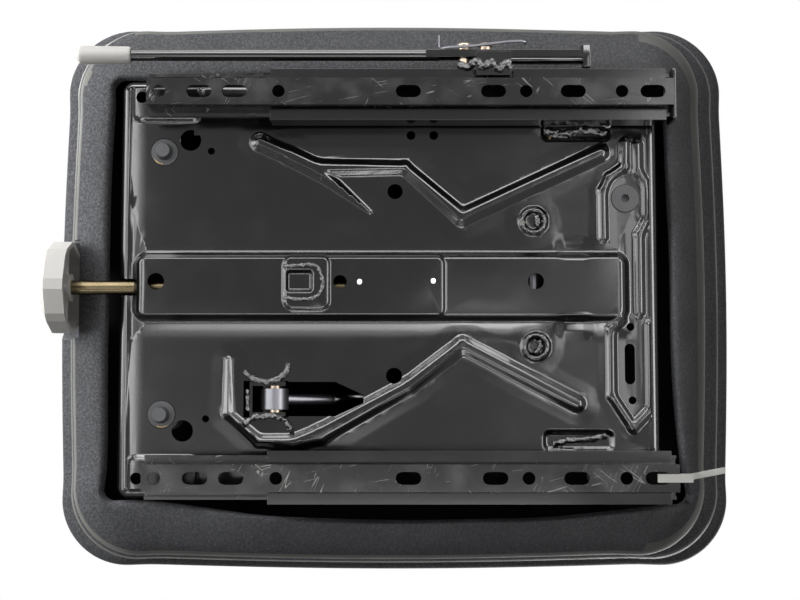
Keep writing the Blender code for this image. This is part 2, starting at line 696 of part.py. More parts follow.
def lower_pan():
    middle = (PAN_FRONT + PAN_REAR) / 2
    rim_top = PAN_BOTTOM + PAN_RIM
    outer = rounded(PAN_WIDTH, PAN_LENGTH, PAN_CORNER, (0, middle))
    inner = rounded(
        PAN_WIDTH - 2 * PAN_SHEET, PAN_LENGTH - 2 * PAN_SHEET, PAN_CORNER - PAN_SHEET, (0, middle)
    )
    pan = plate("lower_pan", outer, "Z", PAN_BOTTOM, rim_top, BLACK_PAINT)
    hollows = [plate("pan_inside", inner, "Z", PAN_TOP, rim_top + 0.002)]
    front_rib = rounded(RIB_WIDTH, RIB_STEP - RIB_FRONT, RIB_CORNER, (0, (RIB_STEP + RIB_FRONT) / 2), 3)
    rear_front = RIB_STEP - 3 * RIB_CORNER
    rear_rib = rounded(
        RIB_WIDTH - 0.004, RIB_REAR - rear_front, RIB_CORNER, (0, (rear_front + RIB_REAR) / 2), 3
    )
    nose_front, nose_rear = PAN_FRONT + 0.0005, RIB_FRONT + 2 * RIB_CORNER
    nose = rounded(0.026, nose_rear - nose_front, 0.004, (0, (nose_front + nose_rear) / 2), 3)
    small = RIDGE_HALF_WIDTH
    forms = [
        ("front_rib", front_rib, RIB_DEPTH, 0.0055),
        ("rear_rib", rear_rib, RIB_REAR_DEPTH, 0.0055),
        ("rib_nose", nose, SHAFT_GROOVE_DEPTH, 0.002),
        ("upper_ridge", ribbon(UPPER_RIDGE, [small] * 5), RIDGE_DEPTH, 0.003),
        ("upper_branch", ribbon(UPPER_BRANCH, [small, 0.0035]), RIDGE_DEPTH * 0.6, 0.001),
        ("lower_ridge", ribbon(LOWER_RIDGE, [small] * 6 + [0.0045]), RIDGE_DEPTH, 0.003),
    ]
    gap_below = PAN_BOTTOM - UPPER_RAIL_TOP - GAP
    for side in (1, -1):
        for i, y in enumerate(FOOT_PLACES):
            outline = rounded(FOOT_WIDTH, FOOT_LENGTH, 0.006, (side * (RAIL_X - 0.0005), y), 2)
            forms.append((f"foot_{side}_{i}", outline, gap_below, 0.003))
        centre = (side * FRONT_FOOT_PLACE[0], FRONT_FOOT_PLACE[1])
        outline = rounded(FRONT_FOOT_WIDTH, FRONT_FOOT_LENGTH, 0.007, centre, 3)
        forms.append((f"front_foot_{side}", outline, 0.004, 0.003))
    rear_ridges = {"plug_ridge": PLUG_RIDGE, "rear_ridge": REAR_RIDGE, "ring_ridge": RING_RIDGE}
    for name, path in rear_ridges.items():
        outline = ribbon(path, [REAR_RIDGE_HALF_WIDTH] * len(path), 4)
        forms.append((name, outline, REAR_RIDGE_DEPTH, 0.0008))
    for name, outline, depth, draft in forms:
        hollows.append(pressed(pan, name, outline, depth, draft))
    for i, (x, y, radius) in enumerate(PAN_HOLES):
        hollows.append(rod(f"pan_hole_{i}", (x, y, 0.020), (x, y, 0.050), radius, sides=16))
    for i, (x, y) in enumerate(BUMPER_PLACES):
        hollows.append(rod(f"bumper_hole_{i}", (x, y, 0.020), (x, y, 0.050), BUMPER_HOLE))
    hollows.append(rod("plug_hole", (*PLUG_PLACE, 0.020), (*PLUG_PLACE, 0.050), PLUG_HOLE))
    hollows.append(plate("damper_window", WINDOW, "Z", 0.020, 0.050))
    bracket_slot = rounded(BRACKET_SLOT_WIDTH, BRACKET_SLOT_LENGTH, 0.003, BRACKET_SLOT_PLACE, 2)
    hollows.append(plate("bracket_slot", bracket_slot, "Z", 0.020, 0.050))
    middle_slot = slot(MIDDLE_SLOT_PLACE, MIDDLE_SLOT_LENGTH, MIDDLE_SLOT_WIDTH, False)
    hollows.append(plate("middle_slot", middle_slot, "Z", 0.020, 0.050))
    hollows.append(
        rod(
            "shaft_opening",
            (0, PAN_FRONT - 0.01, SHAFT_Z),
            (0, PAN_FRONT + 2 * PAN_SHEET, SHAFT_Z),
            SHAFT_RADIUS + SHAFT_CLEARANCE,
        )
    )
    for side in (1, -1):
        for i, y in enumerate(FOOT_PLACES):
            low, high = (side * RAIL_X, y, 0.020), (side * RAIL_X, y, 0.050)
            hollows.append(rod(f"foot_hole_{side}_{i}", low, high, FOOT_BOLT / 2 + RUNNING, sides=16))
    for hollow in hollows:
        combined(pan, hollow, "DIFFERENCE", PAN_SOLVER)
    for side, side_name in ((1, "left"), (-1, "right")):
        for y, end_name in zip(FOOT_PLACES, ("front", "rear")):
            rail_bolt(f"rail_bolt_{end_name}_{side_name}", side * RAIL_X, y)


def turned(name, profile, place, axis, finish):
    """A turned piece: its profile is (radius, height) from the top outer edge down, closed on its axis."""
    bm = bmesh.new()
    points = [bm.verts.new((radius, 0, height)) for radius, height in profile]
    for first, second in zip(points, points[1:]):
        bm.edges.new((first, second))
    mesh = bpy.data.meshes.new(name)
    bm.to_mesh(mesh)
    bm.free()
    mesh.materials.append(finish)
    made = bpy.data.objects.new(name, mesh)
    PARTS.objects.link(made)
    made.location = place
    if axis == "X":
        made.rotation_euler = (0, math.pi / 2, 0)
    elif axis == "Y":
        made.rotation_euler = (-math.pi / 2, 0, 0)
    elif axis == "-X":
        made.rotation_euler = (0, -math.pi / 2, 0)
    screw = made.modifiers.new("Turn", "SCREW")
    screw.steps = ROUND
    screw.render_steps = ROUND
    screw.use_merge_vertices = True
    screw.merge_threshold = 0.00001
    return made


def rail_bolt(name, x, y):
    """A round head on the pan's foot, and a shank down through the foot and the rail's roof."""
    roof = UPPER_RAIL_TOP - UPPER_RAIL_SHEET
    foot_top = UPPER_RAIL_TOP + GAP + PAN_SHEET
    radius, head = FOOT_BOLT / 2, 0.0062
    profile = [
        (0, foot_top + GAP + 0.004),
        (head, foot_top + GAP + 0.004),
        (head, foot_top + GAP),
        (radius, foot_top + GAP),
        (radius, roof - GAP),
        (radius, roof - GAP - 0.001),
        (0, roof - GAP - 0.001),
    ]
    turned(name, profile, (x, y, 0), "Z", DARK_STEEL)


def pan_fittings():
    for (x, y), name in zip(BUMPER_PLACES, ("left", "right")):
        top = HOUSING_UNDER - TRAVEL - GAP
        hole = BUMPER_HOLE - GAP
        profile = [
            (0, top),
            (BUMPER_TIP, top),
            (BUMPER_FOOT - 0.001, top - BUMPER_TIP),
            (BUMPER_FOOT, PAN_TOP + GAP),
            (hole, PAN_TOP + GAP),
            (hole, PAN_BOTTOM - BUMPER_PROUD),
            (BUMPER_STEM + 0.001, PAN_BOTTOM - BUMPER_PROUD),
            (BUMPER_STEM, PAN_BOTTOM - BUMPER_STEM_LENGTH),
            (0, PAN_BOTTOM - BUMPER_STEM_LENGTH),
        ]
        turned(f"bumper_{name}", profile, (x, y, 0), "Z", RUBBER)
    hole = PLUG_HOLE - GAP
    profile = [
        (0, PAN_TOP + 0.004),
        (PLUG_HEAD, PAN_TOP + 0.004),
        (PLUG_HEAD, PAN_TOP + GAP + 0.0015),
        (PLUG_HEAD - 0.0005, PAN_TOP + GAP),
        (hole, PAN_TOP + GAP),
        (hole, PAN_BOTTOM - PLUG_PROUD),
        (PLUG_DIMPLE, PAN_BOTTOM - PLUG_PROUD),
        (PLUG_DIMPLE, PAN_TOP),
        (0, PAN_TOP),
    ]
    turned("rear_plug", profile, (*PLUG_PLACE, 0), "Z", RUBBER)
    damper_bracket()
    thrust_bracket()
    for name, side in (("left", 1), ("right", -1)):
        lower_pivot_bracket(name, side)
        rocker_bracket(name, side)
        track(f"lower_track_{name}", side, LOW_PIVOT_Z, INNER_ARM_NEAR - 0.001, -1)
    reach = ROCKER_HALF_WIDTH + ROCKER_PIN_OVERHANG
    rod("rocker_pin", (-reach, ROCKER_Y, ROCKER_Z), (reach, ROCKER_Y, ROCKER_Z), ROCKER_PIN, ZINC)


def damper_bracket():
    """A folded bracket in the pan's slot: cheeks round the damper's eye, flared flanges below."""
    inside = DAMPER_EYE_WIDTH / 2 + 0.002
    outside = inside + BRACKET_SHEET
    low, high = PAN_BOTTOM - GAP - FLANGE_SHEET, DAMPER_LOW + DAMPER_EYE + 0.002
    front, back = DAMPER_FRONT - BRACKET_FOOT_FRONT, DAMPER_FRONT + BRACKET_FOOT_BACK
    top_front, top_back = DAMPER_FRONT - BRACKET_TOP_FRONT, DAMPER_FRONT + BRACKET_TOP_BACK
    bracket = box(
        "damper_bracket",
        (DAMPER_X - outside, top_front, high - 0.001),
        (DAMPER_X + outside, top_back, high + 0.002),
        BLACK_PAINT,
    )
    for name, side, flange in (("left", 1, LEFT_FLANGE), ("right", -1, RIGHT_FLANGE)):
        near, far = sorted((DAMPER_X + side * inside, DAMPER_X + side * outside))
        cheek = [
            (front, low),
            (back, low),
            (top_back, high),
            (top_front, high),
            (front, PAN_TOP + 0.003),
        ]
        combined(bracket, plate(f"cheek_{name}", cheek, "X", near, far), "UNION")
        path = [(DAMPER_X + x, DAMPER_FRONT + y) for x, y in flange]
        outline = ribbon(path, [FLANGE_HALF_WIDTH] * len(path), 4)
        combined(bracket, plate(f"flange_{name}", outline, "Z", low, low + FLANGE_SHEET), "UNION")
    end = box(
        "bracket_end",
        (DAMPER_X - outside + 0.001, front, low),
        (DAMPER_X + outside - 0.001, front + 0.002, PAN_TOP + 0.002),
    )
    combined(bracket, end, "UNION")
    bore = rod(
        "damper_bracket_bore",
        (DAMPER_X - 0.03, DAMPER_FRONT, DAMPER_LOW),
        (DAMPER_X + 0.03, DAMPER_FRONT, DAMPER_LOW),
        DAMPER_PIN + RUNNING,
    )
    combined(bracket, bore, "DIFFERENCE")
    reach = outside + 0.0015
    rod(
        "damper_lower_pin",
        (DAMPER_X - reach, DAMPER_FRONT, DAMPER_LOW),
        (DAMPER_X + reach, DAMPER_FRONT, DAMPER_LOW),
        DAMPER_PIN,
        ZINC,
    )


def thrust_bracket():
    """A cross plate in the pan's rib that holds the adjuster's shaft."""
    half, y = RIB_WIDTH / 2 - 0.0082, -0.067
    floor = PAN_BOTTOM - RIB_DEPTH + PAN_SHEET + GAP
    outline = rounded(2 * half, 0.024, 0.004, (0, floor + 0.012), 2)
    bore = circle((0, SHAFT_Z), SHAFT_RADIUS + RUNNING)
    plate("thrust_bracket", outline, "Y", y - 0.004, y + 0.004, DARK_STEEL, (bore,))


def lower_pivot_bracket(name, side):
    """A foot on the pan, an upright cheek outside the arm, and the stub that the arm turns on."""
    inner = OUTER_ARM_FAR + 0.0015
    floor = PAN_TOP + GAP
    outline = [
        (ARM_FRONT - 0.014, floor),
        (ARM_FRONT + 0.014, floor),
        (ARM_FRONT + 0.010, LOW_PIVOT_Z + 0.006),
        (ARM_FRONT + 0.005, LOW_PIVOT_Z + 0.010),
        (ARM_FRONT - 0.005, LOW_PIVOT_Z + 0.010),
        (ARM_FRONT - 0.010, LOW_PIVOT_Z + 0.006),
    ]
    low, high = sorted((side * inner, side * (inner + BRACKET_SHEET)))
    bracket = plate(f"lower_pivot_bracket_{name}", outline, "X", low, high, BLACK_PAINT)
    low, high = sorted((side * (inner + 0.001), side * (inner + 0.014)))
    foot = box(
        f"pivot_foot_{name}",
        (low, ARM_FRONT - 0.014, floor),
        (high, ARM_FRONT + 0.014, floor + BRACKET_SHEET),
    )
    combined(bracket, foot, "UNION")
    stub = rod(
        f"pivot_stub_{name}",
        (side * (inner + 0.001), ARM_FRONT, LOW_PIVOT_Z),
        (side * (OUTER_ARM_NEAR - 0.0015), ARM_FRONT, LOW_PIVOT_Z),
        PIVOT_RADIUS,
    )
    combined(bracket, stub, "UNION")


def rocker_bracket(name, side):
    inner = ROCKER_HALF_WIDTH + 0.0085
    floor = PAN_TOP + GAP
    outline = [
        (ROCKER_Y - 0.014, floor),
        (ROCKER_Y + 0.014, floor),
        (ROCKER_Y + 0.008, ROCKER_Z + 0.007),
        (ROCKER_Y - 0.008, ROCKER_Z + 0.007),
    ]
    bore = circle((ROCKER_Y, ROCKER_Z), ROCKER_PIN + RUNNING, 16)
    low, high = sorted((side * inner, side * (inner + BRACKET_SHEET)))
    bracket = plate(f"rocker_bracket_{name}", outline, "X", low, high, BLACK_PAINT, (bore,))
    low, high = sorted((side * (inner + 0.001), side * (inner + 0.016)))
    foot = box(
        f"rocker_foot_{name}", (low, ROCKER_Y - 0.014, floor), (high, ROCKER_Y + 0.014, floor + 0.0025)
    )
    combined(bracket, foot, "UNION")


def track(name, side, height, near_arm, outward):
    """A channel that a roller runs in, open towards its arm."""
    sheet, reach = TRACK_SHEET, ROLLER_RADIUS + ROLLER_CLEARANCE
    web = near_arm + outward * (ROLLER_WIDTH + 0.0025)
    section = [
        (near_arm, height + reach + sheet),
        (web + outward * sheet, height + reach + sheet),
        (web + outward * sheet, height - reach - sheet),
        (near_arm, height - reach - sheet),
        (near_arm, height - reach),
        (web, height - reach),
        (web, height + reach),
        (near_arm, height + reach),
    ]
    section = [(side * u, v) for u, v in section]
    front = ARM_REAR - TRACK_LENGTH / 2 + 0.004
    plate(name, section, "Y", front, front + TRACK_LENGTH, DARK_STEEL)


# Scissor linkage


def arm_outline(front_z, rear_z):
    front, back = Vector((ARM_FRONT, front_z)), Vector((ARM_REAR, rear_z))
    along = (back - front).normalized()
    across = Vector((-along.y, along.x))
    half = ARM_HEIGHT / 2
    points = []
    for centre, start in ((back, -math.pi / 2), (front, math.pi / 2)):
        for i in range(9):
            angle = start + math.pi * i / 8
            points.append(tuple(centre + half * (along * math.cos(angle) + across * math.sin(angle))))
    return points


def scissor_arms():
    middle = ((ARM_FRONT + ARM_REAR) / 2, (LOW_PIVOT_Z + HIGH_PIVOT_Z) / 2)
    reach = PIVOT_RADIUS + RUNNING
    roller_axle = 0.004
    for name, side in (("left", 1), ("right", -1)):
        low, high = sorted((side * OUTER_ARM_NEAR, side * OUTER_ARM_FAR))
        holes = (circle((ARM_FRONT, LOW_PIVOT_Z), reach), circle((ARM_REAR, HIGH_PIVOT_Z), reach))
        outline = arm_outline(LOW_PIVOT_Z, HIGH_PIVOT_Z)
        outer = plate(f"outer_arm_{name}", outline, "X", low, high, BLACK_PAINT, holes)
        pin = rod(
            f"mid_pin_{name}",
            (side * (INNER_ARM_NEAR - 0.002), *middle),
            (side * (OUTER_ARM_FAR + 0.001), *middle),
            PIVOT_RADIUS,
        )
        combined(outer, pin, "UNION")
        low, high = sorted((side * INNER_ARM_NEAR, side * INNER_ARM_FAR))
        holes = (circle((ARM_FRONT, HIGH_PIVOT_Z), reach), circle(middle, reach + 0.0002))
        outline = arm_outline(HIGH_PIVOT_Z, LOW_PIVOT_Z)
        inner = plate(f"inner_arm_{name}", outline, "X", low, high, BLACK_PAINT, holes)
        axle = rod(
            f"lower_axle_{name}",
            (side * (INNER_ARM_FAR + 0.001), ARM_REAR, LOW_PIVOT_Z),
            (side * (INNER_ARM_NEAR - 0.001 - ROLLER_WIDTH - ROLLER_GAP), ARM_REAR, LOW_PIVOT_Z),
            roller_axle,
        )
        combined(inner, axle, "UNION")
        lower_start, upper_start = side * (INNER_ARM_NEAR - ROLLER_GAP), side * (OUTER_ARM_FAR + ROLLER_GAP)
        roller(f"lower_roller_{name}", lower_start, -side, LOW_PIVOT_Z, roller_axle)
        roller(f"upper_roller_{name}", upper_start, side, HIGH_PIVOT_Z, PIVOT_RADIUS)
    ends = OUTER_ARM_FAR + ROLLER_GAP + ROLLER_WIDTH + 0.0006
    rod("rear_shaft", (-ends, ARM_REAR, HIGH_PIVOT_Z), (ends, ARM_REAR, HIGH_PIVOT_Z), PIVOT_RADIUS, ZINC)


def roller(name, start, outward, height, axle):
    outline = circle((ARM_REAR, height), ROLLER_RADIUS)
    bore = circle((ARM_REAR, height), axle + RUNNING)
    low, high = sorted((start, start + outward * ROLLER_WIDTH))
    plate(name, outline, "X", low, high, NYLON, (bore,))


# Upper housing


def loft(name, rings, finish=None):
    """A skin through rounded rectangles, each (width, length, corner, shift, height).

    Without a finish its ends are closed, and it is a solid for cutting with.
    """
    bm = bmesh.new()
    loops = []
    for width, length, corner, shift, height in rings:
        outline = rounded(width, length, corner, (0, shift))
        loops.append([bm.verts.new((*point, height)) for point in outline])
    for lower, upper in zip(loops, loops[1:]):
        count = len(lower)
        for i in range(count):
            bm.faces.new((lower[i], lower[(i + 1) % count], upper[(i + 1) % count], upper[i]))
    if finish is None:
        bm.faces.new(loops[0])
        bm.faces.new(loops[-1])
    return placed(name, bm, finish, finish is None)


def knob_arch(clearance):
    """The outline that the knob sweeps as the housing comes down over it, grown by a clearance."""
    reach, turns = KNOB_RADIUS + clearance, ROUND // 2
    points = [(reach, 0)]
    for i in range(turns + 1):
        angle = math.pi * i / turns
        height = min(SHAFT_Z + TRAVEL + reach * math.sin(angle), HOUSING_UNDER - GAP)
        points.append((reach * math.cos(angle), height))
    return [*points, (-reach, 0)]


def upper_housing():
    """A shallow pan, open downwards, whose flange holds the boot and makes room for the knob."""
    under = FLANGE_TOP - HOUSING_SHEET
    outer = rounded(HOUSING_WIDTH, HOUSING_LENGTH, CORNER - 0.008)
    inner = rounded(
        HOUSING_WIDTH - 2 * HOUSING_SHEET,
        HOUSING_LENGTH - 2 * HOUSING_SHEET,
        CORNER - 0.008 - HOUSING_SHEET,
    )
    housing = plate("upper_housing", outer, "Z", under, HOUSING_TOP, BLACK_PAINT)
    flange = plate("housing_flange", rounded(FLANGE_WIDTH, FLANGE_LENGTH, CORNER), "Z", under, FLANGE_TOP)
    combined(housing, flange, "UNION")
    combined(housing, plate("housing_inside", inner, "Z", under - 0.002, HOUSING_UNDER), "DIFFERENCE")
    clearance = KNOB_CLEARANCE + BOOT_SHEET + GAP
    scallop = plate("knob_scallop", knob_arch(clearance), "Y", -BOOT_LENGTH, KNOB_REAR + clearance)
    combined(housing, scallop, "DIFFERENCE")
    for i, (x, y) in enumerate(((1, 1), (-1, 1), (-1, -1), (1, -1))):
        place = (x * SEAT_BOLT_X / 2, y * SEAT_BOLT_Y / 2)
        drill = rod(f"seat_bolt_hole_{i}", (*place, 0.12), (*place, 0.14), SEAT_BOLT_HOLE / 2)
        combined(housing, drill, "DIFFERENCE")
    for name, side in (("left", 1), ("right", -1)):
        upper_pivot_bracket(name, side)
        track(f"upper_track_{name}", side, HIGH_PIVOT_Z, OUTER_ARM_FAR + 0.001, 1)
    ends, front = INNER_ARM_FAR + 0.001, ARM_FRONT
    rod("upper_pivot_shaft", (-ends, front, HIGH_PIVOT_Z), (ends, front, HIGH_PIVOT_Z), PIVOT_RADIUS, ZINC)
    damper_anchor()
    push_pad()


def upper_pivot_bracket(name, side):
    outer = INNER_ARM_NEAR - 0.003
    ceiling = HOUSING_UNDER - GAP
    outline = [
        (ARM_FRONT - 0.014, ceiling),
        (ARM_FRONT + 0.014, ceiling),
        (ARM_FRONT + 0.009, HIGH_PIVOT_Z - 0.009),
        (ARM_FRONT - 0.009, HIGH_PIVOT_Z - 0.009),
    ]
    bore = circle((ARM_FRONT, HIGH_PIVOT_Z), PIVOT_RADIUS + RUNNING)
    low, high = sorted((side * outer, side * (outer - BRACKET_SHEET)))
    bracket = plate(f"upper_pivot_bracket_{name}", outline, "X", low, high, BLACK_PAINT, (bore,))
    low, high = sorted((side * (outer - 0.001), side * (outer - 0.016)))
    foot = box(
        f"upper_foot_{name}", (low, ARM_FRONT - 0.014, ceiling - 0.0025), (high, ARM_FRONT + 0.014, ceiling)
    )
    combined(bracket, foot, "UNION")


def damper_anchor():
    """A hanging cheek on each side of the damper's upper eye, and the pin between them."""
    height = DAMPER_LOW + DAMPER_RISE
    inside = DAMPER_EYE_WIDTH / 2 + 0.001
    ceiling = HOUSING_UNDER - GAP
    anchor = box(
        "damper_anchor",
        (DAMPER_X - inside - BRACKET_SHEET, DAMPER_BACK - 0.011, ceiling - 0.003),
        (DAMPER_X + inside + BRACKET_SHEET, DAMPER_BACK + 0.011, ceiling),
        BLACK_PAINT,
    )
    for name, side in (("left", 1), ("right", -1)):
        low, high = sorted((DAMPER_X + side * inside, DAMPER_X + side * (inside + BRACKET_SHEET)))
        cheek = box(
            f"anchor_cheek_{name}",
            (low, DAMPER_BACK - 0.009, height - 0.009),
            (high, DAMPER_BACK + 0.009, ceiling - 0.001),
        )
        combined(anchor, cheek, "UNION")
    pin = rod(
        "anchor_pin",
        (DAMPER_X - inside - 0.001, DAMPER_BACK, height),
        (DAMPER_X + inside + 0.001, DAMPER_BACK, height),
        DAMPER_PIN,
    )
    combined(anchor, pin, "UNION")


def push_pad():
    """The channel under the housing that bears on the rocker's roller."""
    low = ROCKER_TIP_Z + ROCKER_ROLLER + ROCKER_ROLLER_CLEARANCE
    ceiling = HOUSING_UNDER - GAP
    front, back, half = ROCKER_TIP_Y - 0.010, ROCKER_TIP_Y + 0.026, 0.016
    section = [
        (-half, ceiling),
        (-half, low),
        (half, low),
        (half, ceiling),
        (half - BRACKET_SHEET, ceiling),
        (half - BRACKET_SHEET, low + BRACKET_SHEET),
        (BRACKET_SHEET - half, low + BRACKET_SHEET),
        (BRACKET_SHEET - half, ceiling),
    ]
    plate("push_pad", section, "Y", front, back, BLACK_PAINT)


def boot():
    """The bellows: a lip round the pan, one fold, a step, and a top tier gripped over the flange."""
    top = FLANGE_TOP + GAP + BOOT_SHEET
    grip_width, grip_length = FLANGE_WIDTH - 0.012, FLANGE_LENGTH - 0.012
    valley = 0.010
    rings = [
        (BOOT_LIP_WIDTH, BOOT_LIP_LENGTH, BOOT_LIP_CORNER, BOOT_LIP_SHIFT, BOOT_LIP_BOTTOM),
        (
            (BOOT_LIP_WIDTH + BOOT_FOLD_WIDTH) / 2,
            (BOOT_LIP_LENGTH + BOOT_FOLD_LENGTH) / 2,
            (BOOT_LIP_CORNER + CORNER) / 2,
            BOOT_LIP_SHIFT,
            BOOT_LIP_BOTTOM + 0.002,
        ),
        (BOOT_FOLD_WIDTH - valley, BOOT_FOLD_LENGTH - valley, CORNER, BOOT_LIP_SHIFT, 0.0505),
        (BOOT_FOLD_WIDTH, BOOT_FOLD_LENGTH, CORNER, BOOT_LIP_SHIFT, 0.0565),
        (BOOT_FOLD_WIDTH - valley, BOOT_FOLD_LENGTH - valley, CORNER - 0.005, BOOT_LIP_SHIFT, 0.0665),
        (BOOT_FOLD_WIDTH + 0.008, BOOT_FOLD_LENGTH + 0.020, CORNER, 0, 0.080),
        (BOOT_FOLD_WIDTH + 0.010, BOOT_FOLD_LENGTH + 0.023, CORNER, 0, 0.086),
        (BOOT_FOLD_WIDTH + 0.002, BOOT_FOLD_LENGTH + 0.015, CORNER - 0.005, 0, 0.093),
        (BOOT_WIDTH - 0.006, BOOT_LENGTH - 0.006, CORNER, 0, 0.0985),
        (BOOT_WIDTH, BOOT_LENGTH, CORNER, 0, 0.103),
        (BOOT_WIDTH - 0.001, BOOT_LENGTH - 0.001, CORNER, 0, top - 0.003),
        (BOOT_WIDTH - 0.005, BOOT_LENGTH - 0.005, CORNER, 0, top),
        (grip_width, grip_length, CORNER - 0.006, 0, top),
    ]
    skin = loft("boot", rings, BOOT_VINYL)
    wall = skin.modifiers.new("Wall", "SOLIDIFY")
    wall.thickness = BOOT_SHEET
    wall.offset = -1
    wall.use_even_offset = True
    knob_pocket(skin, rings)


def knob_pocket(skin, rings):
    """Moulds the boot back round the knob: an arch as high as the knob reaches, and a round pocket."""
    solid = loft("boot_solid", rings)
    arch_back, round_back = KNOB_REAR + KNOB_CLEARANCE, BOOT_LIP_SHIFT - BOOT_LIP_LENGTH / 2 - 0.003
    reach = KNOB_RADIUS - 0.001
    front = -BOOT_LENGTH
    arch_wall = plate(
        "pocket_arch_wall", knob_arch(KNOB_CLEARANCE + BOOT_SHEET), "Y", front, arch_back + BOOT_SHEET
    )
    round_wall = rod(
        "pocket_round_wall", (0, front, SHAFT_Z), (0, round_back + BOOT_SHEET, SHAFT_Z), reach + BOOT_SHEET
    )
    combined(arch_wall, round_wall, "UNION")
    combined(arch_wall, solid, "INTERSECT")
    combined(skin, arch_wall, "UNION")
    arch_hollow = plate("pocket_arch", knob_arch(KNOB_CLEARANCE), "Y", front - 0.01, arch_back)
    combined(skin, arch_hollow, "DIFFERENCE")
    round_hollow = rod("pocket_round", (0, front - 0.01, SHAFT_Z), (0, round_back, SHAFT_Z), reach)
    combined(skin, round_hollow, "DIFFERENCE")
    start, end = (0, round_back - 0.01, SHAFT_Z), (0, round_back + 0.02, SHAFT_Z)
    bore = rod("boot_shaft_hole", start, end, SHAFT_RADIUS + 0.002)
    combined(skin, bore, "DIFFERENCE")


# Damper


def damper():
    """Rod and body on one line, each with its eye: the rod's on the pan, the body's on the housing."""
    along = Vector((0, math.cos(DAMPER_ANGLE), math.sin(DAMPER_ANGLE)))
    low = Vector((DAMPER_X, DAMPER_FRONT, DAMPER_LOW))
    high = low + along * DAMPER_LENGTH
    half = Vector((DAMPER_EYE_WIDTH / 2, 0, 0))
    eye = rod("damper_rod", low - half, low + half, DAMPER_EYE, DARK_STEEL)
    shaft_end = DAMPER_LENGTH - 0.040
    shaft = rod("damper_shaft", low + along * 0.007, low + along * shaft_end, DAMPER_ROD)
    combined(eye, shaft, "UNION")
    cut = rod("damper_rod_bore", low - 2 * half, low + 2 * half, DAMPER_PIN + RUNNING)
    combined(eye, cut, "DIFFERENCE")
    start, mouth = DAMPER_GLAND, DAMPER_ROD + 0.0013
    body_end = DAMPER_EYE + 0.004
    body = rod("damper_body", low + along * start, high - along * body_end, DAMPER_BODY, BLACK_PAINT)
    neck = rod("damper_neck", high - along * (body_end + 0.002), high - along * 0.007, 0.006)
    combined(body, neck, "UNION")
    combined(body, rod("damper_upper_eye", high - half, high + half, DAMPER_EYE), "UNION")
    hollow = rod(
        "damper_inside",
        low + along * (start + 0.006),
        high - along * (body_end + 0.005),
        DAMPER_BODY - DAMPER_WALL,
    )
    combined(body, hollow, "DIFFERENCE")
    gland = rod("damper_gland", low + along * (start - 0.01), low + along * (start + 0.01), mouth)
    combined(body, gland, "DIFFERENCE")
    bore = rod("damper_body_bore", high - 2 * half, high + 2 * half, DAMPER_PIN + RUNNING)
    combined(body, bore, "DIFFERENCE")


# Adjuster and spring rocker


def adjuster():
    bar_floor = PAN_BOTTOM - RIB_DEPTH + PAN_SHEET + 0.0015
    start, end = (0, KNOB_REAR - SHAFT_IN_KNOB, SHAFT_Z), (0, SHAFT_REAR, SHAFT_Z)
    rod("adjuster_shaft", start, end, SHAFT_RADIUS, ZINC)
    knob()
    front, back = TENSION_BAR_Y, TENSION_BAR_Y + TENSION_BAR_DEPTH
    half, neck = TENSION_BAR_WIDTH / 2, 0.012
    shoulder, top = SHAFT_Z + 0.013, LUG_Z + 0.008
    outline = [
        (-neck, bar_floor),
        (neck, bar_floor),
        (neck, shoulder),
        (half, shoulder),
        (half, top),
        (-half, top),
        (-half, shoulder),
        (-neck, shoulder),
    ]
    bore = circle((0, SHAFT_Z), SHAFT_RADIUS + RUNNING)
    bar = plate("tension_bar", outline, "Y", front, back, BLACK_PAINT, (bore,))
    for name, side in (("left", 1), ("right", -1)):
        x = side * SPRING_X
        near, far = (x, front - 0.01, LUG_Z), (x, back + 0.01, LUG_Z)
        combined(bar, rod(f"spring_eye_{name}", near, far, SPRING_WIRE + 0.0008), "DIFFERENCE")
        spring(name, x, front - 0.001)


def knob():
    """A faceted rim, a domed front, and a hollow back with a hub and ribs."""
    bm = bmesh.new()
    rings = []
    for part_radius, part_depth in KNOB_PROFILE:
        y = KNOB_REAR - part_depth * KNOB_WIDTH
        ring = circle((0, SHAFT_Z), part_radius * KNOB_RADIUS, KNOB_FACETS)
        rings.append([bm.verts.new((x, y, z)) for x, z in ring])
    for back, front in zip(rings, rings[1:]):
        for i in range(KNOB_FACETS):
            after = (i + 1) % KNOB_FACETS
            bm.faces.new((back[i], back[after], front[after], front[i]))
    bm.faces.new(rings[0])
    bm.faces.new(rings[-1])
    shell = placed("knob", bm, PALE_PLASTIC)
    start, end = (0, KNOB_REAR + 0.001, SHAFT_Z), (0, KNOB_REAR - KNOB_HOLLOW, SHAFT_Z)
    hollow = rod("knob_hollow", start, end, KNOB_RADIUS - KNOB_WALL)
    combined(shell, hollow, "DIFFERENCE")
    start, end = (0, KNOB_REAR - 0.001, SHAFT_Z), (0, KNOB_REAR - KNOB_HOLLOW - 0.001, SHAFT_Z)
    hub = rod("knob_hub", start, end, KNOB_HUB)
    combined(shell, hub, "UNION")
    for i in range(3):
        angle = math.pi * (i + 0.37) / 3
        reach = KNOB_RADIUS - 0.003
        rib = plate(
            f"knob_rib_{i}",
            ribbon(
                (
                    (-reach * math.cos(angle), SHAFT_Z - reach * math.sin(angle)),
                    (reach * math.cos(angle), SHAFT_Z + reach * math.sin(angle)),
                ),
                (0.0012, 0.0012),
                2,
            ),
            "Y",
            KNOB_REAR - KNOB_HOLLOW - 0.0005,
            KNOB_REAR - 0.004,
        )
        combined(shell, rib, "UNION")
    start, end = (0, KNOB_REAR + 0.002, SHAFT_Z), (0, KNOB_REAR - SHAFT_IN_KNOB - GAP, SHAFT_Z)
    combined(shell, rod("knob_bore", start, end, SHAFT_RADIUS + GAP), "DIFFERENCE")


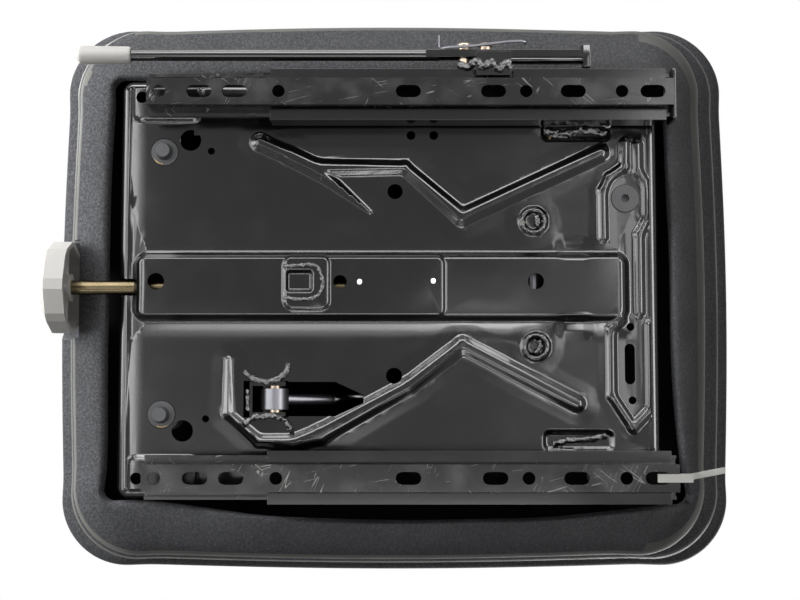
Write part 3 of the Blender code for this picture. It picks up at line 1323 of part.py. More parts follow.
def spring(name, x, front):
    """An extension spring from the tension bar to the rocker's cross bar, with straight legs."""
    lug_front = LUG_Y - 0.005 - GAP
    coil_start, coil_end = front + 0.016, lug_front - 0.006
    steps, turns = SPRING_STEPS, SPRING_COILS
    pitch = (coil_end - coil_start) / turns
    points = [(x, front, LUG_Z), (x, coil_start - 0.003, LUG_Z)]
    for i in range(turns * steps + 1):
        angle = math.tau * i / steps
        across, up = SPRING_RADIUS * math.sin(angle), SPRING_RADIUS * math.cos(angle)
        points.append((x + across, coil_start + pitch * i / steps, LUG_Z + up))
    points += [(x, coil_end + 0.003, LUG_Z), (x, lug_front, LUG_Z)]
    wire(f"spring_{name}", points, SPRING_WIRE, DARK_STEEL)


def rocker():
    """Two side plates on a hub, the bar that the springs hook on, and the roller's axle."""
    axis = (ROCKER_Y, ROCKER_Z)
    half, sheet, reach = ROCKER_HALF_WIDTH, ROCKER_SHEET, 0.0065
    made = rod("rocker", (-half - 0.007, *axis), (half + 0.007, *axis), 0.0072, DARK_STEEL)
    tip = (ROCKER_TIP_Y, ROCKER_TIP_Z)
    lug = (LUG_Y, LUG_Z)
    for name, side in (("left", 1), ("right", -1)):
        low, high = sorted((side * half, side * (half - sheet)))
        arm = plate(f"rocker_arm_{name}", ribbon((axis, tip), (reach, reach)), "X", low, high)
        combined(made, arm, "UNION")
        horn = ribbon((axis, lug), (reach - 0.0003, reach - 0.0007))
        combined(made, plate(f"rocker_horn_{name}", horn, "X", low, high), "UNION")
    combined(made, rod("rocker_bar", (-half + 0.001, *lug), (half - 0.001, *lug), 0.005), "UNION")
    combined(made, rod("roller_axle", (-half + 0.001, *tip), (half - 0.001, *tip), ROCKER_AXLE), "UNION")
    bore = rod("rocker_bore", (-half - 0.02, *axis), (half + 0.02, *axis), ROCKER_PIN + RUNNING)
    combined(made, bore, "DIFFERENCE")
    plate(
        "rocker_roller",
        circle(tip, ROCKER_ROLLER),
        "X",
        -0.012,
        0.012,
        NYLON,
        (circle(tip, ROCKER_AXLE + RUNNING),),
    )


# Release lever


def release_lever():
    """Round bar, flat channel on two rivets, and a latch plate with teeth under the rail's notches."""
    near, far = LEVER_X - LEVER_WIDTH / 2, LEVER_X + LEVER_WIDTH / 2
    low, high = LEVER_Z - LEVER_HEIGHT / 2, LEVER_Z + LEVER_HEIGHT / 2
    wall = 0.0015
    section = [
        (far, low),
        (far, high),
        (near, high),
        (near, high - wall),
        (far - wall, high - wall),
        (far - wall, low + wall),
        (near, low + wall),
        (near, low),
    ]
    lever = plate("release_lever", section, "Y", LEVER_FRONT, LEVER_REAR, BLACK_PAINT)
    bar = rod(
        "lever_bar",
        (LEVER_X, GRIP_FRONT + 0.006, LEVER_Z),
        (LEVER_X, LEVER_FRONT + 0.010, LEVER_Z),
        LEVER_ROD,
        sides=16,
    )
    combined(lever, bar, "UNION")
    flange_low = (near - 0.001, LEVER_REAR - 0.002, low - 0.002)
    flange_high = (far + 0.003, LEVER_REAR, high + 0.002)
    combined(lever, box("lever_end", flange_low, flange_high), "UNION")
    tooth_x = RAIL_X + LOWER_RAIL_HOOK / 2 - LOWER_RAIL_SHEET
    plate_top = 0.0085
    shelf = box("latch_plate", (tooth_x, LATCH_FRONT, 0.006), (near + 0.0025, LATCH_REAR, plate_top))
    combined(lever, shelf, "UNION")
    riser = box("latch_riser", (near, LATCH_FRONT, 0.0065), (near + 0.0025, LATCH_REAR, low + 0.0012))
    combined(lever, riser, "UNION")
    notch_z = LOWER_RAIL_HEIGHT - LOWER_RAIL_HOOK_DEPTH
    for i in range(2):
        y = LATCH_FRONT + 0.00125 + i * LATCH_PITCH
        tooth = box(
            f"latch_tooth_{i}",
            (tooth_x, y, plate_top - 0.001),
            (tooth_x + 0.002, y + LATCH_NOTCH - 0.0015, notch_z - GAP),
        )
        combined(lever, tooth, "UNION")
    start, end = (near - 0.01, LEVER_PIVOT, LEVER_Z), (far + 0.01, LEVER_PIVOT, LEVER_Z)
    combined(lever, rod("lever_pivot_hole", start, end, RIVET_SHANK + RUNNING), "DIFFERENCE")
    stop = plate(
        "lever_stop_slot",
        slot((LEVER_STOP, LEVER_Z), 2 * RIVET_SHANK + 0.0035, 2 * RIVET_SHANK + 0.0008),
        "X",
        near - 0.01,
        far + 0.01,
    )
    combined(lever, stop, "DIFFERENCE")
    for name, y in (("pivot", LEVER_PIVOT), ("stop", LEVER_STOP)):
        lever_rivet(f"lever_{name}_rivet", y, near, far)
    grip()
    lever_spring(far, low)


def lever_rivet(name, y, near, far):
    """A shouldered rivet: its foot on the rail's side, its shank through the lever, its head outside."""
    foot = RAIL_X + UPPER_RAIL_WIDTH / 2 + GAP
    shoulder, head, rim = 0.0045, 0.0055, 0.0042
    profile = [
        (0, far + 0.006),
        (rim, far + 0.006),
        (head, far + 0.005),
        (head, far + 0.0035),
        (shoulder, far + 0.003),
        (shoulder, far + 0.0006),
        (RIVET_SHANK, far + 0.0006),
        (RIVET_SHANK, near - 0.0006),
        (shoulder, near - 0.0006),
        (shoulder, foot),
        (0, foot),
    ]
    turned(name, profile, (0, y, LEVER_Z), "X", BARE_STEEL)


def grip():
    """A moulded sleeve with a round end, over the front of the bar."""
    bore, back = LEVER_ROD + GAP, GRIP_FRONT + GRIP_LENGTH
    profile = [
        (0, GRIP_FRONT),
        (GRIP_RADIUS - 0.0025, GRIP_FRONT),
        (GRIP_RADIUS - 0.0004, GRIP_FRONT + 0.002),
        (GRIP_RADIUS, GRIP_FRONT + 0.005),
        (GRIP_RADIUS - 0.0006, back - 0.002),
        (GRIP_RADIUS - 0.0012, back),
        (bore, back),
        (bore, GRIP_FRONT + 0.006 - GAP),
        (0, GRIP_FRONT + 0.006 - GAP),
    ]
    profile = [(radius, -y) for radius, y in profile]
    made = turned("lever_grip", profile, (LEVER_X, 0, LEVER_Z), "Z", PALE_PLASTIC)
    made.rotation_euler = (math.pi / 2, 0, 0)


def lever_spring(far, low):
    """The bent return wire: one end stands out sideways, the other runs back under the rivets."""
    radius = 0.0011
    clear = far + radius + GAP
    floor = low - 0.0016
    points = [
        (0.1895, 0.034, LEVER_Z - 0.002),
        (clear + 0.001, 0.0342, LEVER_Z - 0.002),
        (clear, 0.036, LEVER_Z - 0.004),
        (clear, 0.040, floor + 0.001),
        (clear, 0.044, floor),
        (clear + 0.001, 0.062, floor - 0.0004),
        (clear + 0.004, 0.085, floor - 0.0004),
        (clear + 0.0045, 0.096, floor - 0.0002),
        (clear + 0.0042, 0.0985, floor + 0.001),
        (clear + 0.0036, 0.0992, floor + 0.004),
    ]
    wire("lever_spring", points, radius, DARK_STEEL)


slide_rails()
lower_pan()
pan_fittings()
scissor_arms()
upper_housing()
boot()
damper()
adjuster()
rocker()
release_lever()
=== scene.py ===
"""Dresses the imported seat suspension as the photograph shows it: from below, in a white studio.

Metres, +Z up as in the cab. The front of the seat is towards -Y and the release lever is on +X.
"""

import json
import logging
import math
from dataclasses import dataclass, field
from enum import Enum
from typing import Callable, Sequence

import bpy
import numpy as np
from mathutils import Matrix, Vector


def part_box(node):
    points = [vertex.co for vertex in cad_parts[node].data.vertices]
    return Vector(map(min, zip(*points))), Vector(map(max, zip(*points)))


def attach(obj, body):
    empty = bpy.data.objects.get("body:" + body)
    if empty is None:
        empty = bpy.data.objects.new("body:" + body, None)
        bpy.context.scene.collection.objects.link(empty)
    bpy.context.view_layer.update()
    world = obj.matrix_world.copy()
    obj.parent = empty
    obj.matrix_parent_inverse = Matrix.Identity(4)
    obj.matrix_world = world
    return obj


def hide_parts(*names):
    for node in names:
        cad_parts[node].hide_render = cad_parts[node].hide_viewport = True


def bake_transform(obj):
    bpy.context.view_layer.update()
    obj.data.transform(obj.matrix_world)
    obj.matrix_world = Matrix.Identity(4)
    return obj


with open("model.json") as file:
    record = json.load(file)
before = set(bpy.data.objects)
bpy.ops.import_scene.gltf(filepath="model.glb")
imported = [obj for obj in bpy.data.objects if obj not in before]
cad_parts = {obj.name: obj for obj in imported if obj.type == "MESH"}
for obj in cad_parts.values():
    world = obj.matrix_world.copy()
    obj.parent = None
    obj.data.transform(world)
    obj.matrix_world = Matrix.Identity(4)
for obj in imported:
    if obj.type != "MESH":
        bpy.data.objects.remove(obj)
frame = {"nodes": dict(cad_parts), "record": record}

LOG = logging.getLogger("seat_suspension")
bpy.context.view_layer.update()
LUMP_SIZE = 0.0032

Point = tuple[float, float]
Place = tuple[float, float, float]


class Pattern(Enum):
    """The fine texture that a finish shows."""

    ORANGE_PEEL = "orange peel of gloss paint"
    SCRATCHED = "gloss paint with scratches and dust"
    LEATHER_GRAIN = "moulded leather grain"
    FINE_GRAIN = "fine moulded grain"
    DRAWN = "lines of drawn or turned metal"
    GREASE = "wet, lumpy grease or weld"


@dataclass(frozen=True)
class Finish:
    """One finish: the colour, gloss and fine texture of a surface.

    Args:
        name: the material's name.
        colour: linear base colour.
        roughness: the least roughness, which the texture raises in places.
        pattern: the fine texture.
        metallic: 1 for bare metal.
        specular: the shader's specular level.
        scale: how many grains of the texture fit in a metre.
        relief: height of the texture's bump in metres.
        spread: how much roughness the texture adds where it is strongest.
        mottle: how far the colour varies from place to place.
    """

    name: str
    colour: tuple[float, float, float]
    roughness: float
    pattern: Pattern
    metallic: float = 0.0
    specular: float = 0.5
    scale: float = 900.0
    relief: float = 0.00002
    spread: float = 0.12
    mottle: float = 0.15

    def material(self) -> bpy.types.Material:
        """Builds the material, or returns it if it is already made."""
        made = bpy.data.materials.get(self.name)
        if made:
            return made
        made = bpy.data.materials.new(self.name)
        made.use_nodes = True
        made.diffuse_color = (*self.colour, 1.0)
        shader = made.node_tree.nodes["Principled BSDF"]
        shader.inputs["Metallic"].default_value = self.metallic
        shader.inputs["Specular IOR Level"].default_value = self.specular
        sheet = ShaderSheet(made.node_tree)
        grain = self._grain(sheet)
        self._colour_nodes(sheet, shader)
        self._gloss_nodes(sheet, shader, grain)
        return made

    def _grain(self, sheet: "ShaderSheet") -> bpy.types.NodeSocket:
        """Returns the socket whose value is the height of the fine texture, 0 to 1."""
        if self.pattern is Pattern.LEATHER_GRAIN:
            cells = sheet.voronoi(self.scale, "SMOOTH_F1")
            return sheet.blend(cells, sheet.noise(self.scale * 1.7, 3), 0.45)
        if self.pattern is Pattern.DRAWN:
            return sheet.noise(self.scale, 2, stretch=(1.0, 0.03, 1.0))
        if self.pattern is Pattern.GREASE:
            return sheet.noise(self.scale, 5)
        return sheet.noise(self.scale, 3)

    def _colour_nodes(self, sheet: "ShaderSheet", shader: bpy.types.Node) -> None:
        """Mottles the base colour, adds painted shade in the pits and painted glints on leather grain, and
        adds pale scratches and dust where the finish has them.
        """
        patches = sheet.noise(self.scale * 0.03 + 9.0, 4)
        low = tuple(c * (1.0 - self.mottle) for c in self.colour)
        high = tuple(c * (1.0 + self.mottle) for c in self.colour)
        colour = sheet.ramp(patches, ((0.3, low), (0.7, high)))
        if self.pattern is Pattern.LEATHER_GRAIN:
            # Painted shade: random darker patches stand for the shade in the grain's pits.
            painted_pit_shade = sheet.spread(sheet.noise(self.scale * 0.9, 3), 0.40, 0.60, 0.60, 0.0)
            colour = sheet.mix_colour(painted_pit_shade, colour, tuple(c * 0.35 for c in self.colour))
            # Painted highlights: random lighter patches stand for glints of light on the grain.
            painted_glints = sheet.spread(sheet.noise(self.scale * 1.3, 2), 0.58, 0.70, 0.0, 0.7)
            colour = sheet.mix_colour(painted_glints, colour, tuple(c * 2.0 for c in self.colour))
        if self.pattern in (Pattern.SCRATCHED, Pattern.ORANGE_PEEL):
            dust = sheet.specks(900.0, 0.07)
            colour = sheet.mix_colour(dust, colour, (0.16, 0.16, 0.15))
        if self.pattern is Pattern.SCRATCHED:
            colour = sheet.mix_colour(sheet.scratches(0.009), colour, (0.55, 0.55, 0.53))
            smears = sheet.spread(sheet.noise(120.0, 5, (1.0, 0.3, 1.0)), 0.60, 0.78, 0.0, 0.5)
            colour = sheet.mix_colour(smears, colour, (0.09, 0.09, 0.085))
        sheet.link(colour, shader.inputs["Base Color"])

    def _gloss_nodes(
        self, sheet: "ShaderSheet", shader: bpy.types.Node, grain: bpy.types.NodeSocket
    ) -> None:
        """Varies the roughness in smears and gives the surface its relief."""
        smears = sheet.noise(38.0, 4)
        rough = sheet.spread(smears, 0.42, 0.72, self.roughness, self.roughness + self.spread)
        sheet.link(rough, shader.inputs["Roughness"])
        sheet.link(sheet.bump(grain, self.relief), shader.inputs["Normal"])


class ShaderSheet:
    """Adds texture nodes to one material, all of them on the object's own coordinates."""

    def __init__(self, tree: bpy.types.NodeTree) -> None:
        """Keeps the tree and makes its one coordinate node."""
        self.tree = tree
        self.coordinates = tree.nodes.new("ShaderNodeTexCoord").outputs["Object"]

    def link(self, source: bpy.types.NodeSocket, target: bpy.types.NodeSocket) -> None:
        """Joins two sockets."""
        self.tree.links.new(source, target)

    def _mapped(self, stretch: Place, turn: float = 0.0) -> bpy.types.NodeSocket:
        """Returns the coordinates, turned about the upright axis and then scaled along each axis."""
        source = self.coordinates
        for socket, value, idle in (
            ("Rotation", (0.0, 0.0, turn), (0.0, 0.0, 0.0)),
            ("Scale", stretch, (1.0, 1.0, 1.0)),
        ):
            if value != idle:
                node = self.tree.nodes.new("ShaderNodeMapping")
                node.inputs[socket].default_value = value
                self.link(source, node.inputs["Vector"])
                source = node.outputs["Vector"]
        return source

    def noise(
        self, scale: float, detail: float, stretch: Place = (1.0, 1.0, 1.0), turn: float = 0.0
    ) -> bpy.types.NodeSocket:
        """Returns the value of a noise texture."""
        node = self.tree.nodes.new("ShaderNodeTexNoise")
        node.inputs["Scale"].default_value = scale
        node.inputs["Detail"].default_value = detail
        self.link(self._mapped(stretch, turn), node.inputs["Vector"])
        return node.outputs["Fac"]

    def voronoi(self, scale: float, feature: str, stretch: Place = (1.0, 1.0, 1.0)) -> bpy.types.NodeSocket:
        """Returns the distance of a Voronoi texture."""
        node = self.tree.nodes.new("ShaderNodeTexVoronoi")
        node.feature = feature
        node.inputs["Scale"].default_value = scale
        self.link(self._mapped(stretch), node.inputs["Vector"])
        return node.outputs["Distance"]

    def blend(
        self, first: bpy.types.NodeSocket, second: bpy.types.NodeSocket, share: float
    ) -> bpy.types.NodeSocket:
        """Returns a mix of two values."""
        node = self.tree.nodes.new("ShaderNodeMix")
        node.inputs["Factor"].default_value = share
        self.link(first, node.inputs["A"])
        self.link(second, node.inputs["B"])
        return node.outputs["Result"]

    def spread(
        self, value: bpy.types.NodeSocket, from_low: float, from_high: float, low: float, high: float
    ) -> bpy.types.NodeSocket:
        """Returns a value moved smoothly from one range to another."""
        node = self.tree.nodes.new("ShaderNodeMapRange")
        node.interpolation_type = "SMOOTHSTEP"
        for name, number in (
            ("From Min", from_low),
            ("From Max", from_high),
            ("To Min", low),
            ("To Max", high),
        ):
            node.inputs[name].default_value = number
        self.link(value, node.inputs["Value"])
        return node.outputs["Result"]

    def specks(self, scale: float, size: float) -> bpy.types.NodeSocket:
        """Returns 1 on small scattered specks, which are missing in most places."""
        dots = self.spread(self.voronoi(scale, "F1"), size, size + 0.05, 1.0, 0.0)
        where = self.spread(self.noise(310.0, 2), 0.57, 0.62, 0.0, 1.0)
        return self.combined("MULTIPLY", dots, where)

    def scratches(self, width: float) -> bpy.types.NodeSocket:
        """Returns 1 on long thin lines in three slanting directions, in patches."""
        total = None
        for turn, scale in ((0.22, 120.0), (-0.65, 90.0), (1.15, 150.0)):
            course = self.noise(scale, 0.6, (1.0, 0.06, 1.0), turn)
            lines = self.spread(self.away(course, 0.5), 0.0, width, 1.0, 0.0)
            where = self.spread(self.noise(scale * 0.5, 2, (1.0, 0.4, 1.0), turn + 1.0), 0.55, 0.64, 0.0, 1.0)
            lines = self.combined("MULTIPLY", lines, where)
            total = self.combined("MAXIMUM", total, lines) if total else lines
        return total

    def away(self, value: bpy.types.NodeSocket, middle: float) -> bpy.types.NodeSocket:
        """Returns how far a value is from the middle."""
        step = self.tree.nodes.new("ShaderNodeMath")
        step.operation = "SUBTRACT"
        self.link(value, step.inputs[0])
        step.inputs[1].default_value = middle
        size = self.tree.nodes.new("ShaderNodeMath")
        size.operation = "ABSOLUTE"
        self.link(step.outputs[0], size.inputs[0])
        return size.outputs[0]

    def combined(
        self, operation: str, first: bpy.types.NodeSocket, second: bpy.types.NodeSocket
    ) -> bpy.types.NodeSocket:
        """Returns two values put together by one operation."""
        node = self.tree.nodes.new("ShaderNodeMath")
        node.operation = operation
        self.link(first, node.inputs[0])
        self.link(second, node.inputs[1])
        return node.outputs[0]

    def ramp(
        self, value: bpy.types.NodeSocket, stops: Sequence[tuple[float, Place]]
    ) -> bpy.types.NodeSocket:
        """Returns a colour that runs between the stops."""
        node = self.tree.nodes.new("ShaderNodeValToRGB")
        for element, (position, colour) in zip(node.color_ramp.elements, stops):
            element.position = position
            element.color = (*colour, 1.0)
        self.link(value, node.inputs["Fac"])
        return node.outputs["Color"]

    def mix_colour(
        self, factor: bpy.types.NodeSocket, base: bpy.types.NodeSocket, over: Place
    ) -> bpy.types.NodeSocket:
        """Returns a colour laid over the base by the factor."""
        node = self.tree.nodes.new("ShaderNodeMix")
        node.data_type = "RGBA"
        self.link(factor, node.inputs["Factor"])
        self.link(base, node.inputs[6])
        node.inputs[7].default_value = (*over, 1.0)
        return node.outputs[2]

    def bump(self, height: bpy.types.NodeSocket, relief: float) -> bpy.types.NodeSocket:
        """Returns a normal bent by a height."""
        node = self.tree.nodes.new("ShaderNodeBump")
        node.inputs["Strength"].default_value = 1.0
        node.inputs["Distance"].default_value = relief
        self.link(height, node.inputs["Height"])
        return node.outputs["Normal"]


GLOSS_BLACK = Finish(
    "gloss_black_paint",
    (0.0030, 0.0030, 0.0029),
    0.16,
    Pattern.ORANGE_PEEL,
    specular=0.34,
    scale=300.0,
    spread=0.03,
)
RAIL_BLACK = Finish(
    "scratched_black_paint", (0.0040, 0.0040, 0.0040), 0.16, Pattern.SCRATCHED, specular=0.36, scale=300.0
)
WELD_BLACK = Finish(
    "painted_weld",
    (0.0040, 0.0040, 0.0040),
    0.14,
    Pattern.GREASE,
    specular=0.45,
    scale=260.0,
    relief=0.0014,
    spread=0.1,
)
# The boot's grain colour carries painted shade in its pits and painted glints on its grain.
BOOT_GRAIN = Finish(
    "boot_grain",
    (0.110, 0.112, 0.121),
    0.60,
    Pattern.LEATHER_GRAIN,
    specular=0.08,
    scale=560.0,
    relief=0.0004,
    spread=0.08,
    mottle=0.08,
)
# Smooth strips on the boot's folds: the smooth finish is real, and the colour lighter than the grain is a
# painted highlight of the fold.
BOOT_EDGE_PAINTED_HIGHLIGHT = Finish(
    "boot_smooth_edge_painted_highlight",
    (0.210, 0.212, 0.196),
    0.48,
    Pattern.FINE_GRAIN,
    specular=0.12,
    scale=700.0,
    mottle=0.08,
)
PALE_PLASTIC = Finish(
    "pale_plastic", (0.52, 0.51, 0.50), 0.42, Pattern.FINE_GRAIN, scale=1500.0, mottle=0.03
)
RUBBER = Finish(
    "black_rubber",
    (0.022, 0.023, 0.026),
    0.55,
    Pattern.FINE_GRAIN,
    specular=0.3,
    scale=1200.0,
    relief=0.00006,
)
ZINC = Finish("yellow_zinc", (0.17, 0.12, 0.055), 0.30, Pattern.DRAWN, metallic=1.0, scale=1800.0)
# Painted shade: a darker copy of the yellow zinc, worn by the adjuster shaft.
SHADED_ZINC = Finish(
    "shaded_yellow_zinc", (0.055, 0.044, 0.026), 0.25, Pattern.DRAWN, metallic=1.0, scale=1800.0
)
BARE_STEEL = Finish("bronzed_steel", (0.24, 0.19, 0.15), 0.28, Pattern.DRAWN, metallic=1.0, scale=1500.0)
DARK_STEEL = Finish("dark_steel", (0.09, 0.09, 0.095), 0.30, Pattern.DRAWN, metallic=0.8, scale=1500.0)
BRIGHT_STEEL = Finish(
    "bright_rivet", (0.80, 0.80, 0.78), 0.22, Pattern.FINE_GRAIN, metallic=1.0, scale=1500.0
)
DULL_BLACK = Finish(
    "dull_black_inside", (0.0030, 0.0030, 0.0030), 0.6, Pattern.FINE_GRAIN, specular=0.04, scale=400.0
)
NYLON = Finish("nylon", (0.70, 0.70, 0.62), 0.30, Pattern.FINE_GRAIN, scale=900.0, mottle=0.06)
PRIMER = Finish("bare_yellow_spot", (0.42, 0.27, 0.08), 0.35, Pattern.GREASE, scale=900.0, mottle=0.4)


def deselect() -> None:
    """Leaves edit mode and selects nothing."""
    if bpy.context.mode != "OBJECT":
        bpy.ops.object.mode_set(mode="OBJECT")
    bpy.ops.object.select_all(action="DESELECT")


def select(piece: bpy.types.Object) -> None:
    """Makes a piece the one selected and active object."""
    deselect()
    piece.select_set(True)
    bpy.context.view_layer.objects.active = piece


def apply_modifier(piece: bpy.types.Object, kind: str, **settings: object) -> None:
    """Adds a modifier with its settings and applies it.

    Args:
        piece: the object to change.
        kind: the modifier's type.
        settings: values for the modifier's own properties.
    """
    select(piece)
    step = piece.modifiers.new(kind.title(), kind)
    for name, value in settings.items():
        setattr(step, name, value)
    bpy.ops.object.modifier_apply(modifier=step.name)


def fix_place(piece: bpy.types.Object) -> None:
    """Moves a piece's place, turn and scale into its mesh."""
    select(piece)
    bpy.ops.object.transform_apply(location=True, rotation=True, scale=True)


def welded(piece: bpy.types.Object) -> None:
    """Merges the points of a mesh that lie on each other."""
    select(piece)
    bpy.ops.object.mode_set(mode="EDIT")
    bpy.ops.mesh.select_all(action="SELECT")
    bpy.ops.mesh.remove_doubles(threshold=0.000001)
    bpy.ops.object.mode_set(mode="OBJECT")


def flipped(piece: bpy.types.Object) -> None:
    """Turns all faces of a mesh round."""
    select(piece)
    bpy.ops.object.mode_set(mode="EDIT")
    bpy.ops.mesh.select_all(action="SELECT")
    bpy.ops.mesh.flip_normals()
    bpy.ops.object.mode_set(mode="OBJECT")


def united(piece: bpy.types.Object, other: bpy.types.Object, solver: str = "EXACT") -> None:
    """Makes another solid part of a piece, which uses it up."""
    apply_modifier(piece, "BOOLEAN", operation="UNION", solver=solver, object=other)
    bpy.data.objects.remove(other, do_unlink=True)


def settle(piece: bpy.types.Object, finish: Finish, smooth_angle: float = 35.0) -> bpy.types.Object:
    """Moves a piece's place into its mesh, smooths it and gives it its finish.

    Args:
        piece: a mesh object.
        finish: the finish to wear.
        smooth_angle: edges sharper than this, in degrees, stay sharp.

    Returns:
        The same object.
    """
    fix_place(piece)
    bpy.ops.object.shade_smooth_by_angle(angle=math.radians(smooth_angle))
    piece.data.materials.clear()
    piece.data.materials.append(finish.material())
    return piece


def cylinder(name: str, start: Place, end: Place, radius: float, sides: int = 32) -> bpy.types.Object:
    """Adds a round bar between two points.

    Args:
        name: the object's name.
        start: the middle of its first end.
        end: the middle of its other end.
        radius: the bar's radius.
        sides: how many flats it has.

    Returns:
        The new object, not yet settled.
    """
    deselect()
    first, last = Vector(start), Vector(end)
    bpy.ops.mesh.primitive_cylinder_add(vertices=sides, radius=radius, depth=(last - first).length)
    made = bpy.context.active_object
    made.name = name
    turn = (last - first).to_track_quat("Z", "Y").to_matrix().to_4x4()
    made.matrix_world = Matrix.Translation((first + last) / 2) @ turn
    return made


def block(name: str, low: Place, high: Place) -> bpy.types.Object:
    """Adds a rectangular block between two corners."""
    deselect()
    bpy.ops.mesh.primitive_cube_add(size=1.0)
    made = bpy.context.active_object
    made.name = name
    middle = (Vector(low) + Vector(high)) / 2
    size = Vector(high) - Vector(low)
    made.matrix_world = Matrix.Translation(middle) @ Matrix.Diagonal((*size, 1.0))
    return made


def cut(piece: bpy.types.Object, cutter: bpy.types.Object, solver: str = "EXACT") -> None:
    """Cuts one object out of another and removes the cutter."""
    apply_modifier(piece, "BOOLEAN", operation="DIFFERENCE", solver=solver, object=cutter)
    bpy.data.objects.remove(cutter, do_unlink=True)


def tube(name: str, points: Sequence[Place], radius: float, sides: int = 3) -> bpy.types.Object:
    """Makes a round wire along points.

    Args:
        name: the object's name.
        points: the middle line.
        radius: the wire's radius.
        sides: the curve's bevel resolution.

    Returns:
        The wire as a closed mesh object.
    """
    deselect()
    curve = bpy.data.curves.new(name, "CURVE")
    curve.dimensions = "3D"
    curve.bevel_depth = radius
    curve.bevel_resolution = sides
    curve.use_fill_caps = True
    spline = curve.splines.new("BEZIER")
    spline.bezier_points.add(len(points) - 1)
    for knot, place in zip(spline.bezier_points, points):
        knot.co = place
        knot.handle_left_type = "AUTO"
        knot.handle_right_type = "AUTO"
    made = bpy.data.objects.new(name, curve)
    bpy.context.scene.collection.objects.link(made)
    select(made)
    bpy.ops.object.convert(target="MESH")
    return bpy.context.active_object


def rounded_copy(node: str, finish: Finish, width: float, segments: int = 2) -> bpy.types.Object:
    """Copies a CAD node with its flat faces merged and its edges rounded, to stand for the node.

    Args:
        node: the CAD node's name.
        finish: the finish to wear.
        width: the width of the rounding, 0 for none.
        segments: the faces across the rounding.

    Returns:
        The new piece.
    """
    source = frame["nodes"][node]
    made = bpy.data.objects.new(f"{node}_finished", source.data.copy())
    bpy.context.scene.collection.objects.link(made)
    select(made)
    bpy.ops.mesh.customdata_custom_splitnormals_clear()
    bpy.ops.object.mode_set(mode="EDIT")
    bpy.ops.mesh.select_all(action="SELECT")
    bpy.ops.mesh.remove_doubles(threshold=0.000001)
    if width:
        bpy.ops.mesh.dissolve_limited(angle_limit=math.radians(0.5))
        apply_modifier(
            made,
            "BEVEL",
            width=width,
            segments=segments,
            limit_method="ANGLE",
            angle_limit=math.radians(28),
            use_clamp_overlap=True,
        )
    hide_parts(node)
    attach(made, NODE_BODY[node])
    settle(made, finish, 40.0)
    apply_modifier(made, "WEIGHTED_NORMAL", keep_sharp=True)
    apply_modifier(made, "TRIANGULATE", keep_custom_normals=True)
    return made


def frame_travel(joint: str) -> float:
    """Returns the lower limit of a sliding joint's range."""
    joints = {each["name"]: each for each in frame["record"]["behaviour"]["joints"]}
    return joints[joint]["range_m"][0]


NODE_BODY = {node: body for body, nodes in frame["record"]["behaviour"]["bodies"].items() for node in nodes}


@dataclass
class PhotoCamera:
    """The camera of the photograph, under the suspension and looking up.

    Args:
        target: the point on the floor plane in the middle of the picture.
        distance: from the camera to the target.
        tilt: how far the camera leans from straight up, in degrees.
        focal_pixels: focal length in pixels of a picture 800 wide.
    """

    target: Place = (-0.0128, 0.0045, 0.0)
    distance: float = 1.045
    tilt: float = 4.5
    focal_pixels: float = 1423.5
    picture_width: float = 800.0
    sensor: float = 36.0

    def build(self) -> bpy.types.Object:
        """Adds the camera and makes it the scene's own."""
        lean = math.radians(self.tilt)
        ahead = Vector((math.sin(lean), 0.0, math.cos(lean)))
        right = Vector((0.0, 1.0, 0.0))
        up = Vector((math.cos(lean), 0.0, -math.sin(lean)))
        lens = bpy.data.cameras.new("photo_camera")
        lens.sensor_width = self.sensor
        lens.lens = self.focal_pixels * self.sensor / self.picture_width
        lens.clip_end = 20.0
        made = bpy.data.objects.new("photo_camera", lens)
        bpy.context.scene.collection.objects.link(made)
        place = Vector(self.target) - ahead * self.distance
        made.matrix_world = Matrix.Translation(place) @ Matrix((right, up, -ahead)).transposed().to_4x4()
        bpy.context.scene.camera = made
        return made


@dataclass
class Softbox:
    """One soft lamp, aimed at the suspension.

    Args:
        name: the lamp's name.
        place: where it stands.
        width: its size towards the suspension's upright axis.
        length: its size across that.
        power: in watts.
        only_gloss: a card that is seen in reflections and lights nothing.
    """

    name: str
    place: Place
    width: float
    length: float
    power: float
    only_gloss: bool = False

    def build(self) -> None:
        """Adds the lamp."""
        aim = Vector((0.0, 0.0, 0.06)) - Vector(self.place)
        facing = aim.to_track_quat("-Z", "X").to_matrix().to_4x4()
        made = area_lamp(self.name, self.width, self.length, self.power)
        made.matrix_world = Matrix.Translation(self.place) @ facing
        made.visible_diffuse = not self.only_gloss


@dataclass
class Card:
    """A card level with the camera that the pan's gloss shows as a soft patch, and that lights nothing.

    Args:
        name: the card's name.
        low: its corner with the least x and y.
        high: its corner with the most x and y.
        radiance: how bright it is; white paper is 1.
        height: its height, level with the camera.
    """

    name: str
    low: Point
    high: Point
    radiance: float
    height: float = -1.04

    def build(self) -> None:
        """Adds the card, facing up."""
        width, length = self.high[0] - self.low[0], self.high[1] - self.low[1]
        made = area_lamp(self.name, width, length, self.radiance * math.pi * width * length)
        middle = ((self.high[0] + self.low[0]) / 2, (self.high[1] + self.low[1]) / 2, self.height)
        made.matrix_world = Matrix.Translation(middle) @ Matrix.Rotation(math.pi, 4, "X")
        made.visible_diffuse = False


def area_lamp(name: str, width: float, length: float, power: float) -> bpy.types.Object:
    """Adds a rectangular lamp that is not yet placed."""
    light = bpy.data.lights.new(name, "AREA")
    light.shape = "RECTANGLE"
    light.size = width
    light.size_y = length
    light.energy = power
    made = bpy.data.objects.new(name, light)
    bpy.context.scene.collection.objects.link(made)
    return made


